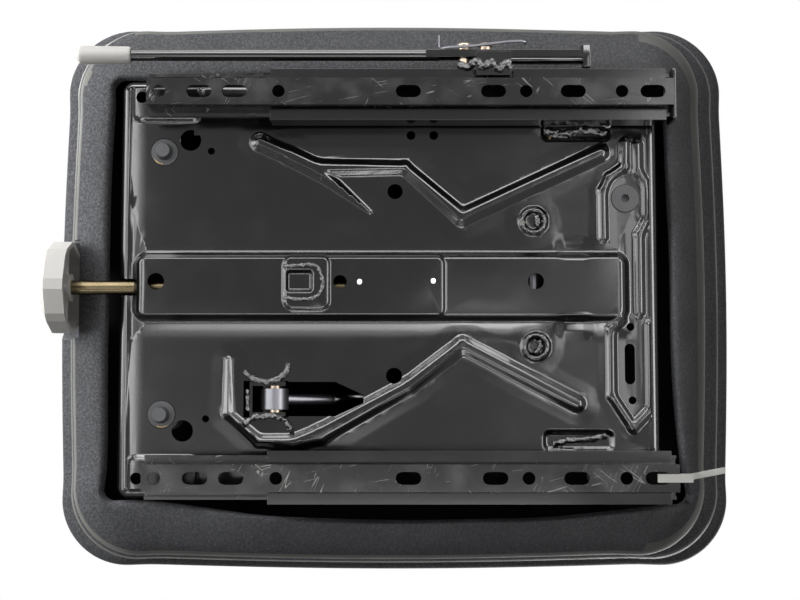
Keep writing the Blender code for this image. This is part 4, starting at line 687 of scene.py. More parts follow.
@dataclass
class Studio:
    """A white surround, soft lamps, and a pale floor that can be seen only from above.

    Args:
        floor_reach: half the floor's side.
        floor_drop: how far the floor lies under the rails.
        floor_shade: how light the floor is.
        ambient: strength of the surround as a light; to the eye it is 1.
        fade_start: distance at which the floor starts to fade out.
        fade_end: distance at which it is gone.
        lamps: the lamps that stand round the suspension.
        cards: the level cards under it.
    """

    floor_reach: float = 8.0
    floor_drop: float = 0.0005
    floor_shade: float = 0.86
    ambient: float = 0.06
    fade_start: float = 0.50
    fade_end: float = 1.2
    lamps: list[Softbox] = field(
        default_factory=lambda: [
            Softbox("lamp_front", (0.25, -1.25, -0.36), 0.40, 0.90, 17.0),
            Softbox("lamp_lever_side", (1.10, -0.60, -0.36), 0.20, 0.90, 7.0),
            Softbox("strip_front", (-0.05, -0.95, -0.62), 0.30, 1.10, 9.0, True),
            Softbox("strip_lever_side", (0.80, 0.0, -0.85), 0.40, 1.50, 36.0, True),
            Softbox("strip_lever_low", (1.15, 0.10, -0.35), 0.30, 1.40, 20.0, True),
            Softbox("strip_damper_side", (-1.05, -0.05, -0.70), 0.10, 1.30, 8.0, True),
            Softbox("strip_rear", (0.05, 0.95, -0.72), 0.36, 1.20, 26.0, True),
            Softbox("lamp_above", (0.9, -1.1, 1.9), 1.0, 1.0, 42.0),
            Softbox("lamp_above_rear", (-1.2, 1.0, 1.7), 1.2, 1.2, 26.0),
        ]
    )
    cards: list[Card] = field(
        default_factory=lambda: [
            Card("card_shoulder_front", (-0.60, -0.44), (-0.22, 0.05), 3.0),
            Card("card_shoulder_front_rib", (-0.70, -0.40), (-0.38, 0.05), 8.0, -1.05),
            Card("card_shoulder_rear", (-0.62, 0.05), (-0.24, 0.26), 5.0),
            Card("card_shoulder_rear_rib", (-0.70, 0.05), (-0.38, 0.24), 16.0, -1.05),
            Card("card_beside_rib", (-0.01, 0.05), (0.055, 0.19), 5.0),
            Card("card_rear", (-0.16, 0.17), (0.34, 0.33), 0.6),
            Card("card_far_rear", (-0.12, 0.36), (0.42, 0.62), 7.0),
            Card("card_front", (-0.32, -0.50), (0.04, -0.24), 0.4),
            Card("card_front_rim", (-0.35, -0.64), (0.45, -0.48), 3.0),
            Card("card_front_edge", (-0.35, -0.90), (0.45, -0.60), 14.0, -1.05),
        ]
    )

    def build(self) -> None:
        """Sets the view, the world, the floor and the lamps."""
        bpy.context.scene.view_settings.view_transform = "Standard"
        self._world()
        self._floor()
        for lamp in (*self.lamps, *self.cards):
            lamp.build()

    def _world(self) -> None:
        """Makes a world that is white to the eye and in reflections, and dimmer as a light."""
        world = bpy.data.worlds.new("white_surround")
        bpy.context.scene.world = world
        world.use_nodes = True
        tree = world.node_tree
        background = tree.nodes["Background"]
        background.inputs["Color"].default_value = (1.0, 1.0, 1.0, 1.0)
        seen = seen_by_eye_or_gloss(tree)
        strength = tree.nodes.new("ShaderNodeMapRange")
        strength.inputs["To Min"].default_value = self.ambient
        strength.inputs["To Max"].default_value = 1.0
        tree.links.new(seen, strength.inputs["Value"])
        tree.links.new(strength.outputs["Result"], background.inputs["Strength"])

    def _floor(self) -> None:
        """Adds the floor under the rails, which lets light and sight through from below."""
        deselect()
        bpy.ops.mesh.primitive_plane_add(size=2 * self.floor_reach, location=(0, 0, -self.floor_drop))
        floor = bpy.context.active_object
        floor.name = "floor"
        paint = bpy.data.materials.new("studio_floor")
        paint.use_nodes = True
        tree = paint.node_tree
        surface = tree.nodes["Principled BSDF"]
        surface.inputs["Base Color"].default_value = (*(self.floor_shade,) * 3, 1.0)
        surface.inputs["Roughness"].default_value = 0.8
        surface.inputs["Specular IOR Level"].default_value = 0.1
        clear = tree.nodes.new("ShaderNodeBsdfTransparent")
        sheet = ShaderSheet(tree)
        reach = tree.nodes.new("ShaderNodeVectorMath")
        reach.operation = "LENGTH"
        sheet.link(sheet.coordinates, reach.inputs[0])
        faded = sheet.spread(reach.outputs["Value"], self.fade_start, self.fade_end, 0.0, 1.0)
        side = tree.nodes.new("ShaderNodeNewGeometry").outputs["Backfacing"]
        mix = tree.nodes.new("ShaderNodeMixShader")
        sheet.link(sheet.combined("MAXIMUM", side, faded), mix.inputs["Fac"])
        tree.links.new(surface.outputs["BSDF"], mix.inputs[1])
        tree.links.new(clear.outputs["BSDF"], mix.inputs[2])
        tree.links.new(mix.outputs["Shader"], tree.nodes["Material Output"].inputs["Surface"])
        floor.data.materials.append(paint)
        floor.visible_diffuse = False
        floor.visible_glossy = False
        floor.visible_transmission = False
        floor.visible_shadow = False


def seen_by_eye_or_gloss(tree: bpy.types.NodeTree) -> bpy.types.NodeSocket:
    """Returns a value of 1 for camera, glossy and transmission rays, and 0 for the rest."""
    path = tree.nodes.new("ShaderNodeLightPath")
    total = path.outputs["Is Camera Ray"]
    for name in ("Is Glossy Ray", "Is Transmission Ray"):
        step = tree.nodes.new("ShaderNodeMath")
        step.operation = "MAXIMUM"
        tree.links.new(total, step.inputs[0])
        tree.links.new(path.outputs[name], step.inputs[1])
        total = step.outputs[0]
    return total


Grid = np.ndarray


def soft_step(value: Grid) -> Grid:
    """Returns a smooth rise from 0 to 1 as the value goes from 0 to 1."""
    held = np.clip(value, 0.0, 1.0)
    return held * held * (3.0 - 2.0 * held)


def capsule_chain(x: Grid, y: Grid, path: Sequence[tuple[float, float, float]]) -> Grid:
    """Returns the distance to a chain of round-ended bands, negative inside.

    Args:
        x: places to measure at.
        y: places to measure at.
        path: (x, y, half-width) of each knot.

    Returns:
        Distances in metres.
    """
    nearest = np.full_like(x, 1.0)
    for (x0, y0, half0), (x1, y1, half1) in zip(path, path[1:]):
        run_x, run_y = x1 - x0, y1 - y0
        share = ((x - x0) * run_x + (y - y0) * run_y) / (run_x**2 + run_y**2)
        share = np.clip(share, 0.0, 1.0)
        away = np.hypot(x - x0 - share * run_x, y - y0 - share * run_y)
        nearest = soft_least(nearest, away - (half0 + share * (half1 - half0)), 0.002)
    return nearest


def soft_least(first: Grid, second: Grid, reach: float) -> Grid:
    """Returns the smaller of two values, rounded off where they meet."""
    near = np.clip(0.5 + 0.5 * (second - first) / reach, 0.0, 1.0)
    return second + (first - second) * near - reach * near * (1.0 - near)


def rectangle(x: Grid, y: Grid, middle: Point, half: Point, corner: float) -> Grid:
    """Returns the distance to a rectangle with round corners, negative inside."""
    past_x = np.abs(x - middle[0]) - half[0] + corner
    past_y = np.abs(y - middle[1]) - half[1] + corner
    outside = np.hypot(np.maximum(past_x, 0.0), np.maximum(past_y, 0.0))
    return outside + np.minimum(np.maximum(past_x, past_y), 0.0) - corner


Outline = Callable[[Grid, Grid], Grid]


def boxed(middle: Point, half: Point, corner: float) -> Outline:
    """Returns the outline of a rectangle with round corners."""
    return lambda x, y: rectangle(x, y, middle, half, corner)


def chained(path: Sequence[tuple[float, float, float]]) -> Outline:
    """Returns the outline of a chain of round-ended bands."""
    return lambda x, y: capsule_chain(x, y, path)


def disc(middle: Point, radius: float) -> Outline:
    """Returns the outline of a disc."""
    return lambda x, y: np.hypot(x - middle[0], y - middle[1]) - radius


@dataclass
class Pressing:
    """One form pressed into the pan.

    Args:
        distance: gives the distance to its outline, negative inside.
        depth: how far it stands down out of the pan, negative where it is pressed up.
        wall: how wide its sloping wall is in plan.
        skirt: how far the sheet round it is drawn down with it.
        skirt_reach: how far out that goes.
        one_sided: its wall is steepest at its inner end, and runs out softly.
    """

    distance: Outline
    depth: float
    wall: float
    skirt: float = 0.0
    skirt_reach: float = 0.012
    one_sided: bool = False

    def drop(self, x: Grid, y: Grid) -> Grid:
        """Returns how far the pressing lowers the pan at each place."""
        away = self.distance(x, y)
        share = -away / self.wall + 0.15
        lowered = self.depth * (np.clip(share, 0.0, 1.0) ** 2 if self.one_sided else soft_step(share))
        if self.skirt:
            lowered = lowered + self.skirt * soft_step(1.0 - away / self.skirt_reach)
        return lowered


@dataclass
class LowerPan:
    """The stamped pan, pressed from one sheet whose rim stands up.

    Args:
        sheet: the sheet's thickness.
        rim_radius: bend between the floor and the rim.
        corner: radius of its corners in plan.
        columns: faces across the sheet.
        rows: faces along the sheet.
        ridge: half-width of the slanting ridges.
        thin_ridge: half-width of the ridges round the rear plug and slot.
        shoulder: width of the slope beside the centre rib, away from the lever.
        shallow_shoulder: the same on the lever's side.
        roll: width of the slope along the front and rear rims.
        roll_lift: how far the floor rises there.
        inner_share: share of the upper side's faces that is kept.
        unevenness: height of the sheet's slight waves.
        hole_sides: flats of a hole's edge.
    """

    sheet: float = 0.002
    rim_radius: float = 0.0075
    corner: float = 0.009
    columns: int = 236
    rows: int = 304
    ridge: float = 0.0074
    thin_ridge: float = 0.0046
    shoulder: float = 0.0170
    shallow_shoulder: float = 0.0460
    roll: float = 0.0190
    roll_lift: float = 0.0018
    inner_share: float = 0.10
    unevenness: float = 0.00015
    hole_sides: int = 40

    def __post_init__(self) -> None:
        """Takes the pan's place from the frame."""
        self.low, self.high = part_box("lower_pan")
        self.floor = 0.038
        self.middle_y = (self.low.y + self.high.y) / 2

    def pressings(self) -> list[Pressing]:
        """Returns the pan's forms, as the photograph shows them."""
        ridge = self.ridge
        upper = [
            (0.1115, -0.1029, ridge),
            (0.0917, -0.0587, ridge),
            (0.0917, 0.0083, ridge * 0.8),
            (0.0535, 0.0517, ridge),
            (0.1031, 0.1583, ridge),
        ]
        branch = [(0.1010, -0.0800, ridge * 0.95), (0.0880, -0.0560, ridge * 0.9), (0.0574, -0.0183, 0.0015)]
        lower = [
            (-0.0884, 0.1385, ridge),
            (-0.0434, 0.0517, ridge),
            (-0.0747, 0.0106, ridge),
            (-0.1112, -0.0560, ridge * 1.15),
            (-0.1174, -0.0760, ridge * 0.9),
            (-0.1160, -0.1020, 0.0052),
            (-0.0960, -0.1252, 0.0046),
            (-0.0556, -0.1254, 0.0030),
        ]
        small = self.thin_ridge
        plug = [
            (0.0380, 0.1594, small),
            (0.0740, 0.1594, small),
            (0.0840, 0.1640, small),
            (0.0925, 0.1762, small),
            (0.1110, 0.1766, small),
        ]
        rear = [
            (0.1095, 0.1865, small),
            (0.0890, 0.1865, small),
            (0.0790, 0.1932, small),
            (0.0528, 0.1932, small),
            (0.0406, 0.1869, small),
            (-0.0190, 0.1869, small),
        ]
        ring = [
            (-0.0250, 0.1730, small),
            (-0.0330, 0.1648, small),
            (-0.0823, 0.1648, small),
            (-0.1065, 0.1805, small),
            (-0.0922, 0.1943, small),
            (-0.0290, 0.1943, small),
        ]
        forms = [
            Pressing(self._shoulder, 0.0024, self.shoulder, one_sided=True),
            Pressing(boxed((0, -0.0095), (0.0268, 0.1885), 0.010), 0.0052, 0.0075),
            Pressing(boxed((0, -0.0795), (0.0245, 0.1190), 0.008), 0.0024, 0.0045),
            Pressing(
                lambda x, y: soft_least(capsule_chain(x, y, upper), capsule_chain(x, y, branch), 0.003),
                0.0036,
                ridge,
                0.0006,
            ),
            Pressing(chained(lower), 0.0036, ridge, 0.0006),
            Pressing(lambda x, y: y - self.low.y - self.roll, -self.roll_lift, self.roll, one_sided=True),
            Pressing(lambda x, y: self.high.y - self.roll - y, -self.roll_lift, self.roll, one_sided=True),
            Pressing(boxed((0.0026, -0.0659), (0.0215, 0.0183), 0.0080), 0.0022, 0.0035),
            Pressing(boxed((0.0036, -0.0716), (0.0085, 0.0104), 0.0030), -0.0036, 0.0030),
        ]
        for path in (plug, rear, ring):
            forms.append(Pressing(chained(path), 0.0028, small, 0.0004, 0.007))
        forms += self._weld_forms()
        for side in (1, -1):
            forms.append(Pressing(boxed((side * 0.1430, -0.1745), (0.0165, 0.0275), 0.008), 0.0036, 0.006))
            for y_foot in (-0.052, 0.148):
                forms.append(Pressing(boxed((side * 0.1424, y_foot), (0.0150, 0.0350), 0.006), 0.0055, 0.004))
        return forms

    def _shoulder(self, x: Grid, y: Grid) -> Grid:
        """Returns the distance to the band that carries the centre rib, wider on the lever's side."""
        edge = 0.0268 + 0.85 * self.shoulder
        damper_side = -x - edge
        lever_side = (x - 0.0268 - 0.85 * self.shallow_shoulder) * self.shoulder / self.shallow_shoulder
        ends = np.abs(y + 0.0095) - 0.1860 - 0.85 * self.shoulder * 0.5
        return np.maximum(np.maximum(damper_side, lever_side), ends)

    def _weld_forms(self) -> list[Pressing]:
        """Returns the round weld bosses and the two welded pockets beside the rails."""
        forms = []
        for boss in ((0.0505, 0.1063), (-0.0454, 0.1076)):
            forms.append(Pressing(disc(boss, 0.0120), 0.0026, 0.0035, 0.0005))
            forms.append(Pressing(disc(boss, 0.0078), -0.0034, 0.0030))
        for x_waist in (0.0300, -0.0300):
            forms.append(Pressing(boxed((x_waist, 0.1370), (0.0115, 0.0150), 0.009), -0.0020, 0.0115))
        for x_pocket in (0.1205, -0.1165):
            forms.append(Pressing(boxed((x_pocket, 0.1395), (0.0082, 0.0275), 0.006), -0.0034, 0.005))
        return forms

    def holes(self) -> list[tuple[float, float, float]]:
        """Returns (x, y, radius) of each round hole."""
        return [
            (0.1131, -0.1562, 0.0081),
            (-0.1090, -0.1600, 0.0081),
            (0.1047, -0.1402, 0.0027),
            (-0.0999, -0.1425, 0.0027),
            (0.0734, 0.0007, 0.0058),
            (-0.0674, 0.0000, 0.0061),
            (0.1169, 0.0129, 0.0034),
            (0.1169, 0.0304, 0.0034),
            (0.0036, -0.1798, 0.0063),
            (0.0032, -0.0408, 0.0051),
            (0.0039, 0.1073, 0.0061),
            (-0.0304, 0.1796, 0.0030),
            (-0.0860, 0.1804, 0.0030),
            (0.1459, -0.1934, 0.0045),
            (-0.1446, -0.1938, 0.0045),
            (0.1039, -0.1760, 0.0107),
            (-0.0968, -0.1760, 0.0107),
            (0.0680, 0.1766, 0.0109),
        ]

    def build(self) -> bpy.types.Object:
        """Presses the sheet, gives it its thickness and cuts its holes.

        Returns:
            The finished pan.
        """
        deselect()
        bpy.ops.mesh.primitive_grid_add(x_subdivisions=self.columns, y_subdivisions=self.rows, size=2.0)
        pan = bpy.context.active_object
        pan.name = "pan"
        self._press(pan)
        flipped(pan)
        apply_modifier(pan, "SOLIDIFY", thickness=self.sheet, offset=-1.0, use_even_offset=True)
        self._thin_inside(pan)
        cut(pan, self._cutters(), "MANIFOLD")
        settle(pan, GLOSS_BLACK, 38.0)
        self._true_normals(pan)
        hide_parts("lower_pan")
        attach(pan, "carriage")
        return pan

    def _press(self, pan: bpy.types.Object) -> None:
        """Moves a flat grid's vertices onto the pressed sheet."""
        count = len(pan.data.vertices)
        flat = np.empty(count * 3)
        pan.data.vertices.foreach_get("co", flat)
        flat = flat.reshape(-1, 3)
        wall = self.high.z - self.floor - self.rim_radius
        arc = self.rim_radius * math.pi / 2
        spare = wall + arc - self.rim_radius
        half_x = (self.high.x - self.low.x) / 2 + spare
        half_y = (self.high.y - self.low.y) / 2 + spare
        u, v = flat[:, 0] * half_x, flat[:, 1] * half_y
        from_rim = np.minimum(half_x - np.abs(u), half_y - np.abs(v))
        angle = np.clip((from_rim - wall) / self.rim_radius, 0.0, math.pi / 2)
        inset = self.rim_radius * (1.0 - np.cos(angle)) + np.maximum(from_rim - wall - arc, 0.0)
        height = np.where(
            from_rim < wall, self.high.z - from_rim, self.floor + self.rim_radius * (1.0 - np.sin(angle))
        )
        reach_x = (self.high.x - self.low.x) / 2 - inset
        reach_y = (self.high.y - self.low.y) / 2 - inset
        x = np.sign(u) * reach_x * np.abs(u) / np.maximum(half_x - from_rim, 1e-9)
        y = np.sign(v) * reach_y * np.abs(v) / np.maximum(half_y - from_rim, 1e-9)
        x, y = self._rounded(x, y, reach_x, reach_y, np.maximum(self.corner - inset, 0.0))
        y = y + self.middle_y
        height = height - np.where(inset > self.rim_radius * 0.99, self.floor - self.surface(x, y), 0.0)
        pan.data.vertices.foreach_set("co", np.stack([x, y, height], 1).ravel())
        pan.data.update()

    def surface(self, x: Grid, y: Grid) -> Grid:
        """Returns the height of the pressed sheet's underside inside its rim."""
        height = self.floor - self._hand(x, y)
        for form in self.pressings():
            height = height - form.drop(x, y)
        return height

    def _thin_inside(self, pan: bpy.types.Object) -> None:
        """Takes most faces out of the sheet's upper side, which is hardly seen."""
        select(pan)
        upward = np.empty(len(pan.data.polygons) * 3)
        pan.data.polygons.foreach_get("normal", upward)
        pan.data.polygons.foreach_set("select", upward.reshape(-1, 3)[:, 2] > 0.3)
        bpy.ops.object.mode_set(mode="EDIT")
        bpy.context.tool_settings.mesh_select_mode = (False, False, True)
        bpy.ops.mesh.decimate(ratio=self.inner_share)
        bpy.ops.object.mode_set(mode="OBJECT")

    def _true_normals(self, pan: bpy.types.Object) -> None:
        """Gives the underside the normals of the pressed shape itself, so that reflections run clean."""
        mesh = pan.data
        count = len(mesh.loops)
        normals = np.empty(count * 3)
        mesh.corner_normals.foreach_get("vector", normals)
        normals = normals.reshape(-1, 3)
        vertices = np.empty(count, dtype=np.int32)
        mesh.loops.foreach_get("vertex_index", vertices)
        places = np.empty(len(mesh.vertices) * 3)
        mesh.vertices.foreach_get("co", places)
        at = places.reshape(-1, 3)[vertices]
        x, y = at[:, 0], at[:, 1]
        step = 0.0001
        slope_x = (self.surface(x + step, y) - self.surface(x - step, y)) / (2 * step)
        slope_y = (self.surface(x, y + step) - self.surface(x, y - step)) / (2 * step)
        true = np.stack([slope_x, slope_y, np.full_like(x, -1.0)], 1)
        true /= np.linalg.norm(true, axis=1, keepdims=True)
        margin = self.rim_radius * 1.2
        half_y = self.high.y - self.middle_y
        inside = (np.abs(x) < self.high.x - margin) & (np.abs(y - self.middle_y) < half_y - margin)
        on_skin = np.abs(at[:, 2] - self.surface(x, y)) < 0.0003
        use = inside & on_skin & (np.einsum("ij,ij->i", normals, true) > 0.6)
        normals[use] = true[use]
        mesh.normals_split_custom_set(normals.tolist())

    @staticmethod
    def _rounded(x: Grid, y: Grid, reach_x: Grid, reach_y: Grid, corner: Grid) -> tuple[Grid, Grid]:
        """Bends the square corners of nested rectangles round."""
        past_x = np.abs(x) - (reach_x - corner)
        past_y = np.abs(y) - (reach_y - corner)
        bent = (past_x > 0) & (past_y > 0) & (corner > 1e-9)
        radius = np.where(bent, corner, 1.0)
        on_side = past_x >= past_y
        turn = np.where(on_side, past_y / radius, 2.0 - past_x / radius) * math.pi / 4
        near = np.maximum(past_x, past_y)
        round_x = np.sign(x) * (reach_x - corner + near * np.cos(turn))
        round_y = np.sign(y) * (reach_y - corner + near * np.sin(turn))
        return np.where(bent, round_x, x), np.where(bent, round_y, y)

    def _hand(self, x: Grid, y: Grid) -> Grid:
        """Returns the slight unevenness of pressed sheet, which bends its reflections."""
        wave = np.sin(x * 41.0 + 1.3 * np.sin(y * 23.0)) * np.cos(y * 31.0 + 0.8)
        return self.unevenness * wave

    def _cutters(self) -> bpy.types.Object:
        """Returns all the hole cutters as one object."""
        low, high = 0.020, 0.060
        cutters = [
            cylinder(f"hole_{i}", (x, y, low), (x, y, high), radius, self.hole_sides)
            for i, (x, y, radius) in enumerate(self.holes())
        ]
        cutters.append(block("bracket_slot", (-0.0988, -0.1140, low), (-0.0712, -0.0800, high)))
        cutters.append(block("damper_window", (-0.0980, -0.0820, low), (-0.0720, -0.0440, high)))
        window_end = block("window_end", (-0.0980, -0.0445, low), (-0.0720, -0.0230, high))
        for vertex in window_end.data.vertices:
            if vertex.co.y > 0:
                vertex.co.x *= 0.24
        cutters.append(window_end)
        cutters.append(block("middle_slot", (-0.0700, 0.1749, low), (-0.0470, 0.1827, high)))
        cutters.append(cylinder("slot_end_0", (-0.0700, 0.1788, low), (-0.0700, 0.1788, high), 0.00391, 24))
        cutters.append(cylinder("slot_end_1", (-0.0470, 0.1788, low), (-0.0470, 0.1788, high), 0.00391, 24))
        cutters.append(
            cylinder("shaft_hole", (0, self.low.y - 0.01, 0.042), (0, self.low.y + 0.012, 0.042), 0.0075)
        )
        for cutter in cutters:
            fix_place(cutter)
        whole = cutters[0]
        for other in cutters[1:]:
            united(whole, other, "MANIFOLD")
        return whole


@dataclass
class Boot:
    """The moulded bellows between the pan and the housing, with a loose inner lip.

    Args:
        sheet: thickness of the moulded sheet.
        around: points along each straight side; half as many go round a corner.
        shift: how far the lower fold lies in front of the middle.
        clearance: room round the knob.
        grip_room: how far the fold is pushed up over the lever's grip.
        bow: how far the sides bow out.
        slack: how far the lip hangs out on the side away from the lever.
        slack_rear: the same behind.
        slack_front: the same in front.
        fold_low: height below which the boot stays with the pan; not used.
        fold_high: height above which it goes with the housing; not used.
        smooth_painted_highlight_bands: heights between which a fold's outer edge is smooth and painted
            lighter as a highlight.
    """

    sheet: float = 0.003
    around: int = 26
    shift: float = -0.004
    clearance: float = 0.003
    grip_room: float = 0.0045
    bow: float = 0.004
    slack: float = 0.0120
    slack_rear: float = 0.0130
    slack_front: float = 0.0045
    fold_low: float = 0.050
    fold_high: float = 0.112
    smooth_painted_highlight_bands: tuple[Point, ...] = ((0.0535, 0.0640), (0.0760, 0.0880))

    def rings(self) -> list[tuple[float, float, float, float, float]]:
        """Returns (width, length, corner, shift, height) of each ring, from the lip up."""
        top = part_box("boot")[1].z
        return [
            (0.3240, 0.4240, 0.009, self.shift, 0.0470),
            (0.3255, 0.4255, 0.009, self.shift, 0.0432),
            (0.3290, 0.4300, 0.011, self.shift, 0.0412),
            (0.3340, 0.4350, 0.015, self.shift, 0.0410),
            (0.3500, 0.4450, 0.027, self.shift, 0.0422),
            (0.3680, 0.4560, 0.038, self.shift, 0.0446),
            (0.3880, 0.4690, 0.046, self.shift, 0.0482),
            (0.4020, 0.4790, 0.051, self.shift, 0.0524),
            (0.4090, 0.4850, 0.052, self.shift, 0.0572),
            (0.4085, 0.4845, 0.052, self.shift, 0.0606),
            (0.4000, 0.4760, 0.048, self.shift, 0.0655),
            (0.4020, 0.4800, 0.048, self.shift / 2, 0.0690),
            (0.4130, 0.4990, 0.052, 0.0, 0.0740),
            (0.4180, 0.5060, 0.053, 0.0, 0.0795),
            (0.4195, 0.5080, 0.053, 0.0, 0.0850),
            (0.4170, 0.5060, 0.052, 0.0, 0.0895),
            (0.4130, 0.5010, 0.050, 0.0, 0.0930),
            (0.4200, 0.5150, 0.051, 0.0, 0.0958),
            (0.4290, 0.5270, 0.052, 0.0, 0.0985),
            (0.4330, 0.5310, 0.053, 0.0, 0.1030),
            (0.4336, 0.5316, 0.053, 0.0, 0.1100),
            (0.4330, 0.5310, 0.053, 0.0, top - 0.0035),
            (0.4290, 0.5270, 0.051, 0.0, top - 0.0004),
            (0.4200, 0.5180, 0.048, 0.0, top),
            (0.4120, 0.5100, 0.046, 0.0, top),
        ]

    def _outline(self, width: float, length: float, corner: float, shift: float) -> list[Point]:
        """Returns one ring's places: arcs at its corners and slightly bowed sides."""
        places = []
        for quarter, (side, end) in enumerate(((1, 1), (-1, 1), (-1, -1), (1, -1))):
            centre = (side * (width / 2 - corner), end * (length / 2 - corner))
            for i in range(self.around // 2):
                turn = math.pi / 2 * (quarter + i / (self.around // 2 - 1))
                places.append((centre[0] + corner * math.cos(turn), centre[1] + corner * math.sin(turn)))
            after = ((-1, 1), (-1, -1), (1, -1), (1, 1))[quarter]
            start = places[-1]
            next_turn = math.pi / 2 * (quarter + 1)
            goal = (
                after[0] * (width / 2 - corner) + corner * math.cos(next_turn),
                after[1] * (length / 2 - corner) + corner * math.sin(next_turn),
            )
            for i in range(1, self.around):
                share = i / self.around
                out = self.bow * (math.sin(math.pi * share) - 0.35)
                places.append(
                    (
                        start[0] + share * (goal[0] - start[0]) + out * math.cos(next_turn),
                        start[1] + share * (goal[1] - start[1]) + out * math.sin(next_turn),
                    )
                )
        return [(x, y + shift) for x, y in places]

    def build(self) -> bpy.types.Object:
        """Lofts the skin ring by ring, thickens it and moulds the knob's pocket into it.

        Returns:
            The finished boot.
        """
        deselect()
        rings = self.rings()
        corners = [self._outline(*ring[:4]) for ring in rings]
        bpy.ops.mesh.primitive_circle_add(vertices=len(corners[0]), radius=0.2)
        skin = bpy.context.active_object
        skin.name = "boot_skin"
        bpy.ops.object.mode_set(mode="EDIT")
        bpy.ops.mesh.select_all(action="SELECT")
        for _ in rings[1:]:
            bpy.ops.mesh.extrude_edges_move(TRANSFORM_OT_translate={"value": (0, 0, 0.001)})
        bpy.ops.object.mode_set(mode="OBJECT")
        places = []
        for row, (outline, ring) in enumerate(zip(corners, rings)):
            for x, y in outline:
                places += self._loosened(x, y, ring[4], row)
        skin.data.vertices.foreach_set("co", places)
        skin.data.update()
        self._outward(skin)
        apply_modifier(skin, "SUBSURF", levels=1, render_levels=1)
        inside = self._filled(skin)
        apply_modifier(skin, "SOLIDIFY", thickness=self.sheet, offset=-1.0, use_even_offset=False)
        self._pocket(skin, inside)
        settle(skin, BOOT_GRAIN, 50.0)
        self._smooth_painted_highlight_strips(skin)
        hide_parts("boot")
        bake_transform(skin)
        return skin

    def _loosened(self, x: float, y: float, z: float, row: int) -> Place:
        """Returns a ring's place with the waviness that the loose lip has."""
        give = max(0.0, 1.0 - max(row - 2, 0) / 5.0)
        wave = math.sin(y * 29.0 + x * 13.0) + 0.6 * math.sin(y * 67.0 - x * 41.0 + 1.0)
        lean = 1.0 + 0.003 * give * wave
        low_side = (max(0.0, 0.130 - x) / 0.280) ** 4
        if x < 0:
            x -= give * self.slack * max(0.0, 1.0 - ((y - 0.02) / 0.20) ** 2)
        if y > 0:
            y += give * self.slack_rear * low_side
        else:
            y -= give * self.slack_front * low_side
        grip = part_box("lever_grip")
        over_grip = math.exp(-(((x - (grip[0].x + grip[1].x) / 2) / 0.018) ** 2)) if row < 9 else 0.0
        z += self.grip_room * over_grip * float(soft_step((grip[1].y + 0.034 - y) / 0.030))
        return (x * lean, y * lean, z + 0.0009 * give * math.sin(y * 47.0 + x * 35.0 + 2.0))

    @staticmethod
    def _outward(skin: bpy.types.Object) -> None:
        """Makes all faces of an open skin point out."""
        select(skin)
        bpy.ops.object.mode_set(mode="EDIT")
        bpy.ops.mesh.select_all(action="SELECT")
        bpy.ops.mesh.normals_make_consistent(inside=False)
        bpy.ops.object.mode_set(mode="OBJECT")
        side = max(skin.data.polygons, key=lambda face: face.center.x)
        if side.normal.x < 0:
            flipped(skin)

    @staticmethod
    def _filled(skin: bpy.types.Object) -> bpy.types.Object:
        """Returns a copy of the open skin with its two ends closed."""
        inside = bpy.data.objects.new("boot_inside", skin.data.copy())
        bpy.context.scene.collection.objects.link(inside)
        select(inside)
        bpy.ops.object.mode_set(mode="EDIT")
        bpy.ops.mesh.select_all(action="SELECT")
        bpy.ops.mesh.fill_holes(sides=0)
        bpy.ops.mesh.select_all(action="SELECT")
        bpy.ops.mesh.normals_make_consistent(inside=False)
        bpy.ops.object.mode_set(mode="OBJECT")
        return inside

    def _pocket(self, skin: bpy.types.Object, inside: bpy.types.Object) -> None:
        """Moulds the boot back round the knob, as high as the knob reaches when the seat is down.

        Args:
            skin: the boot's sheet.
            inside: the whole room that the boot encloses, which is used up.
        """
        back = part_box("knob")[1].y + self.clearance
        wall = self._arch("pocket_wall", self.clearance + self.sheet, back + self.sheet)
        apply_modifier(wall, "BOOLEAN", operation="INTERSECT", solver="EXACT", object=inside)
        bpy.data.objects.remove(inside, do_unlink=True)
        united(skin, wall)
        cut(skin, self._arch("pocket", self.clearance, back))

    @staticmethod
    def _arch(name: str, clearance: float, back: float) -> bpy.types.Object:
        """Returns the room that the knob sweeps through, larger by a clearance and as deep as its back."""
        low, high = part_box("knob")
        shaft_z, reach = (low.z + high.z) / 2, (high.x - low.x) / 2 + clearance
        top_z = shaft_z - frame_travel("suspension_travel")
        front = low.y - 0.04
        arch = cylinder(name, (0, front, shaft_z), (0, back, shaft_z), reach, 64)
        fix_place(arch)
        for other in (
            cylinder("arch_top", (0, front, top_z), (0, back, top_z), reach, 64),
            block("arch_middle", (-reach, front, shaft_z), (reach, back, top_z)),
        ):
            united(arch, other)
        return settle(arch, BOOT_GRAIN)

    def _smooth_painted_highlight_strips(self, skin: bpy.types.Object) -> None:
        """Gives the folds' outer edges their smooth finish, in a lighter colour that paints a highlight along
        each fold.
        """
        # The chosen faces take the lighter smooth finish, a painted highlight along the folds' edges and at
        # the rear.
        skin.data.materials.append(BOOT_EDGE_PAINTED_HIGHLIGHT.material())
        for face in skin.data.polygons:
            height = face.center.z
            steep = abs(face.normal.z) < 0.75
            at_rear = face.center.y > 0.19 and 0.0478 < height < 0.0600
            if at_rear or (steep and any(low < height < high for low, high in self.smooth_painted_highlight_bands)):
                face.material_index = 1


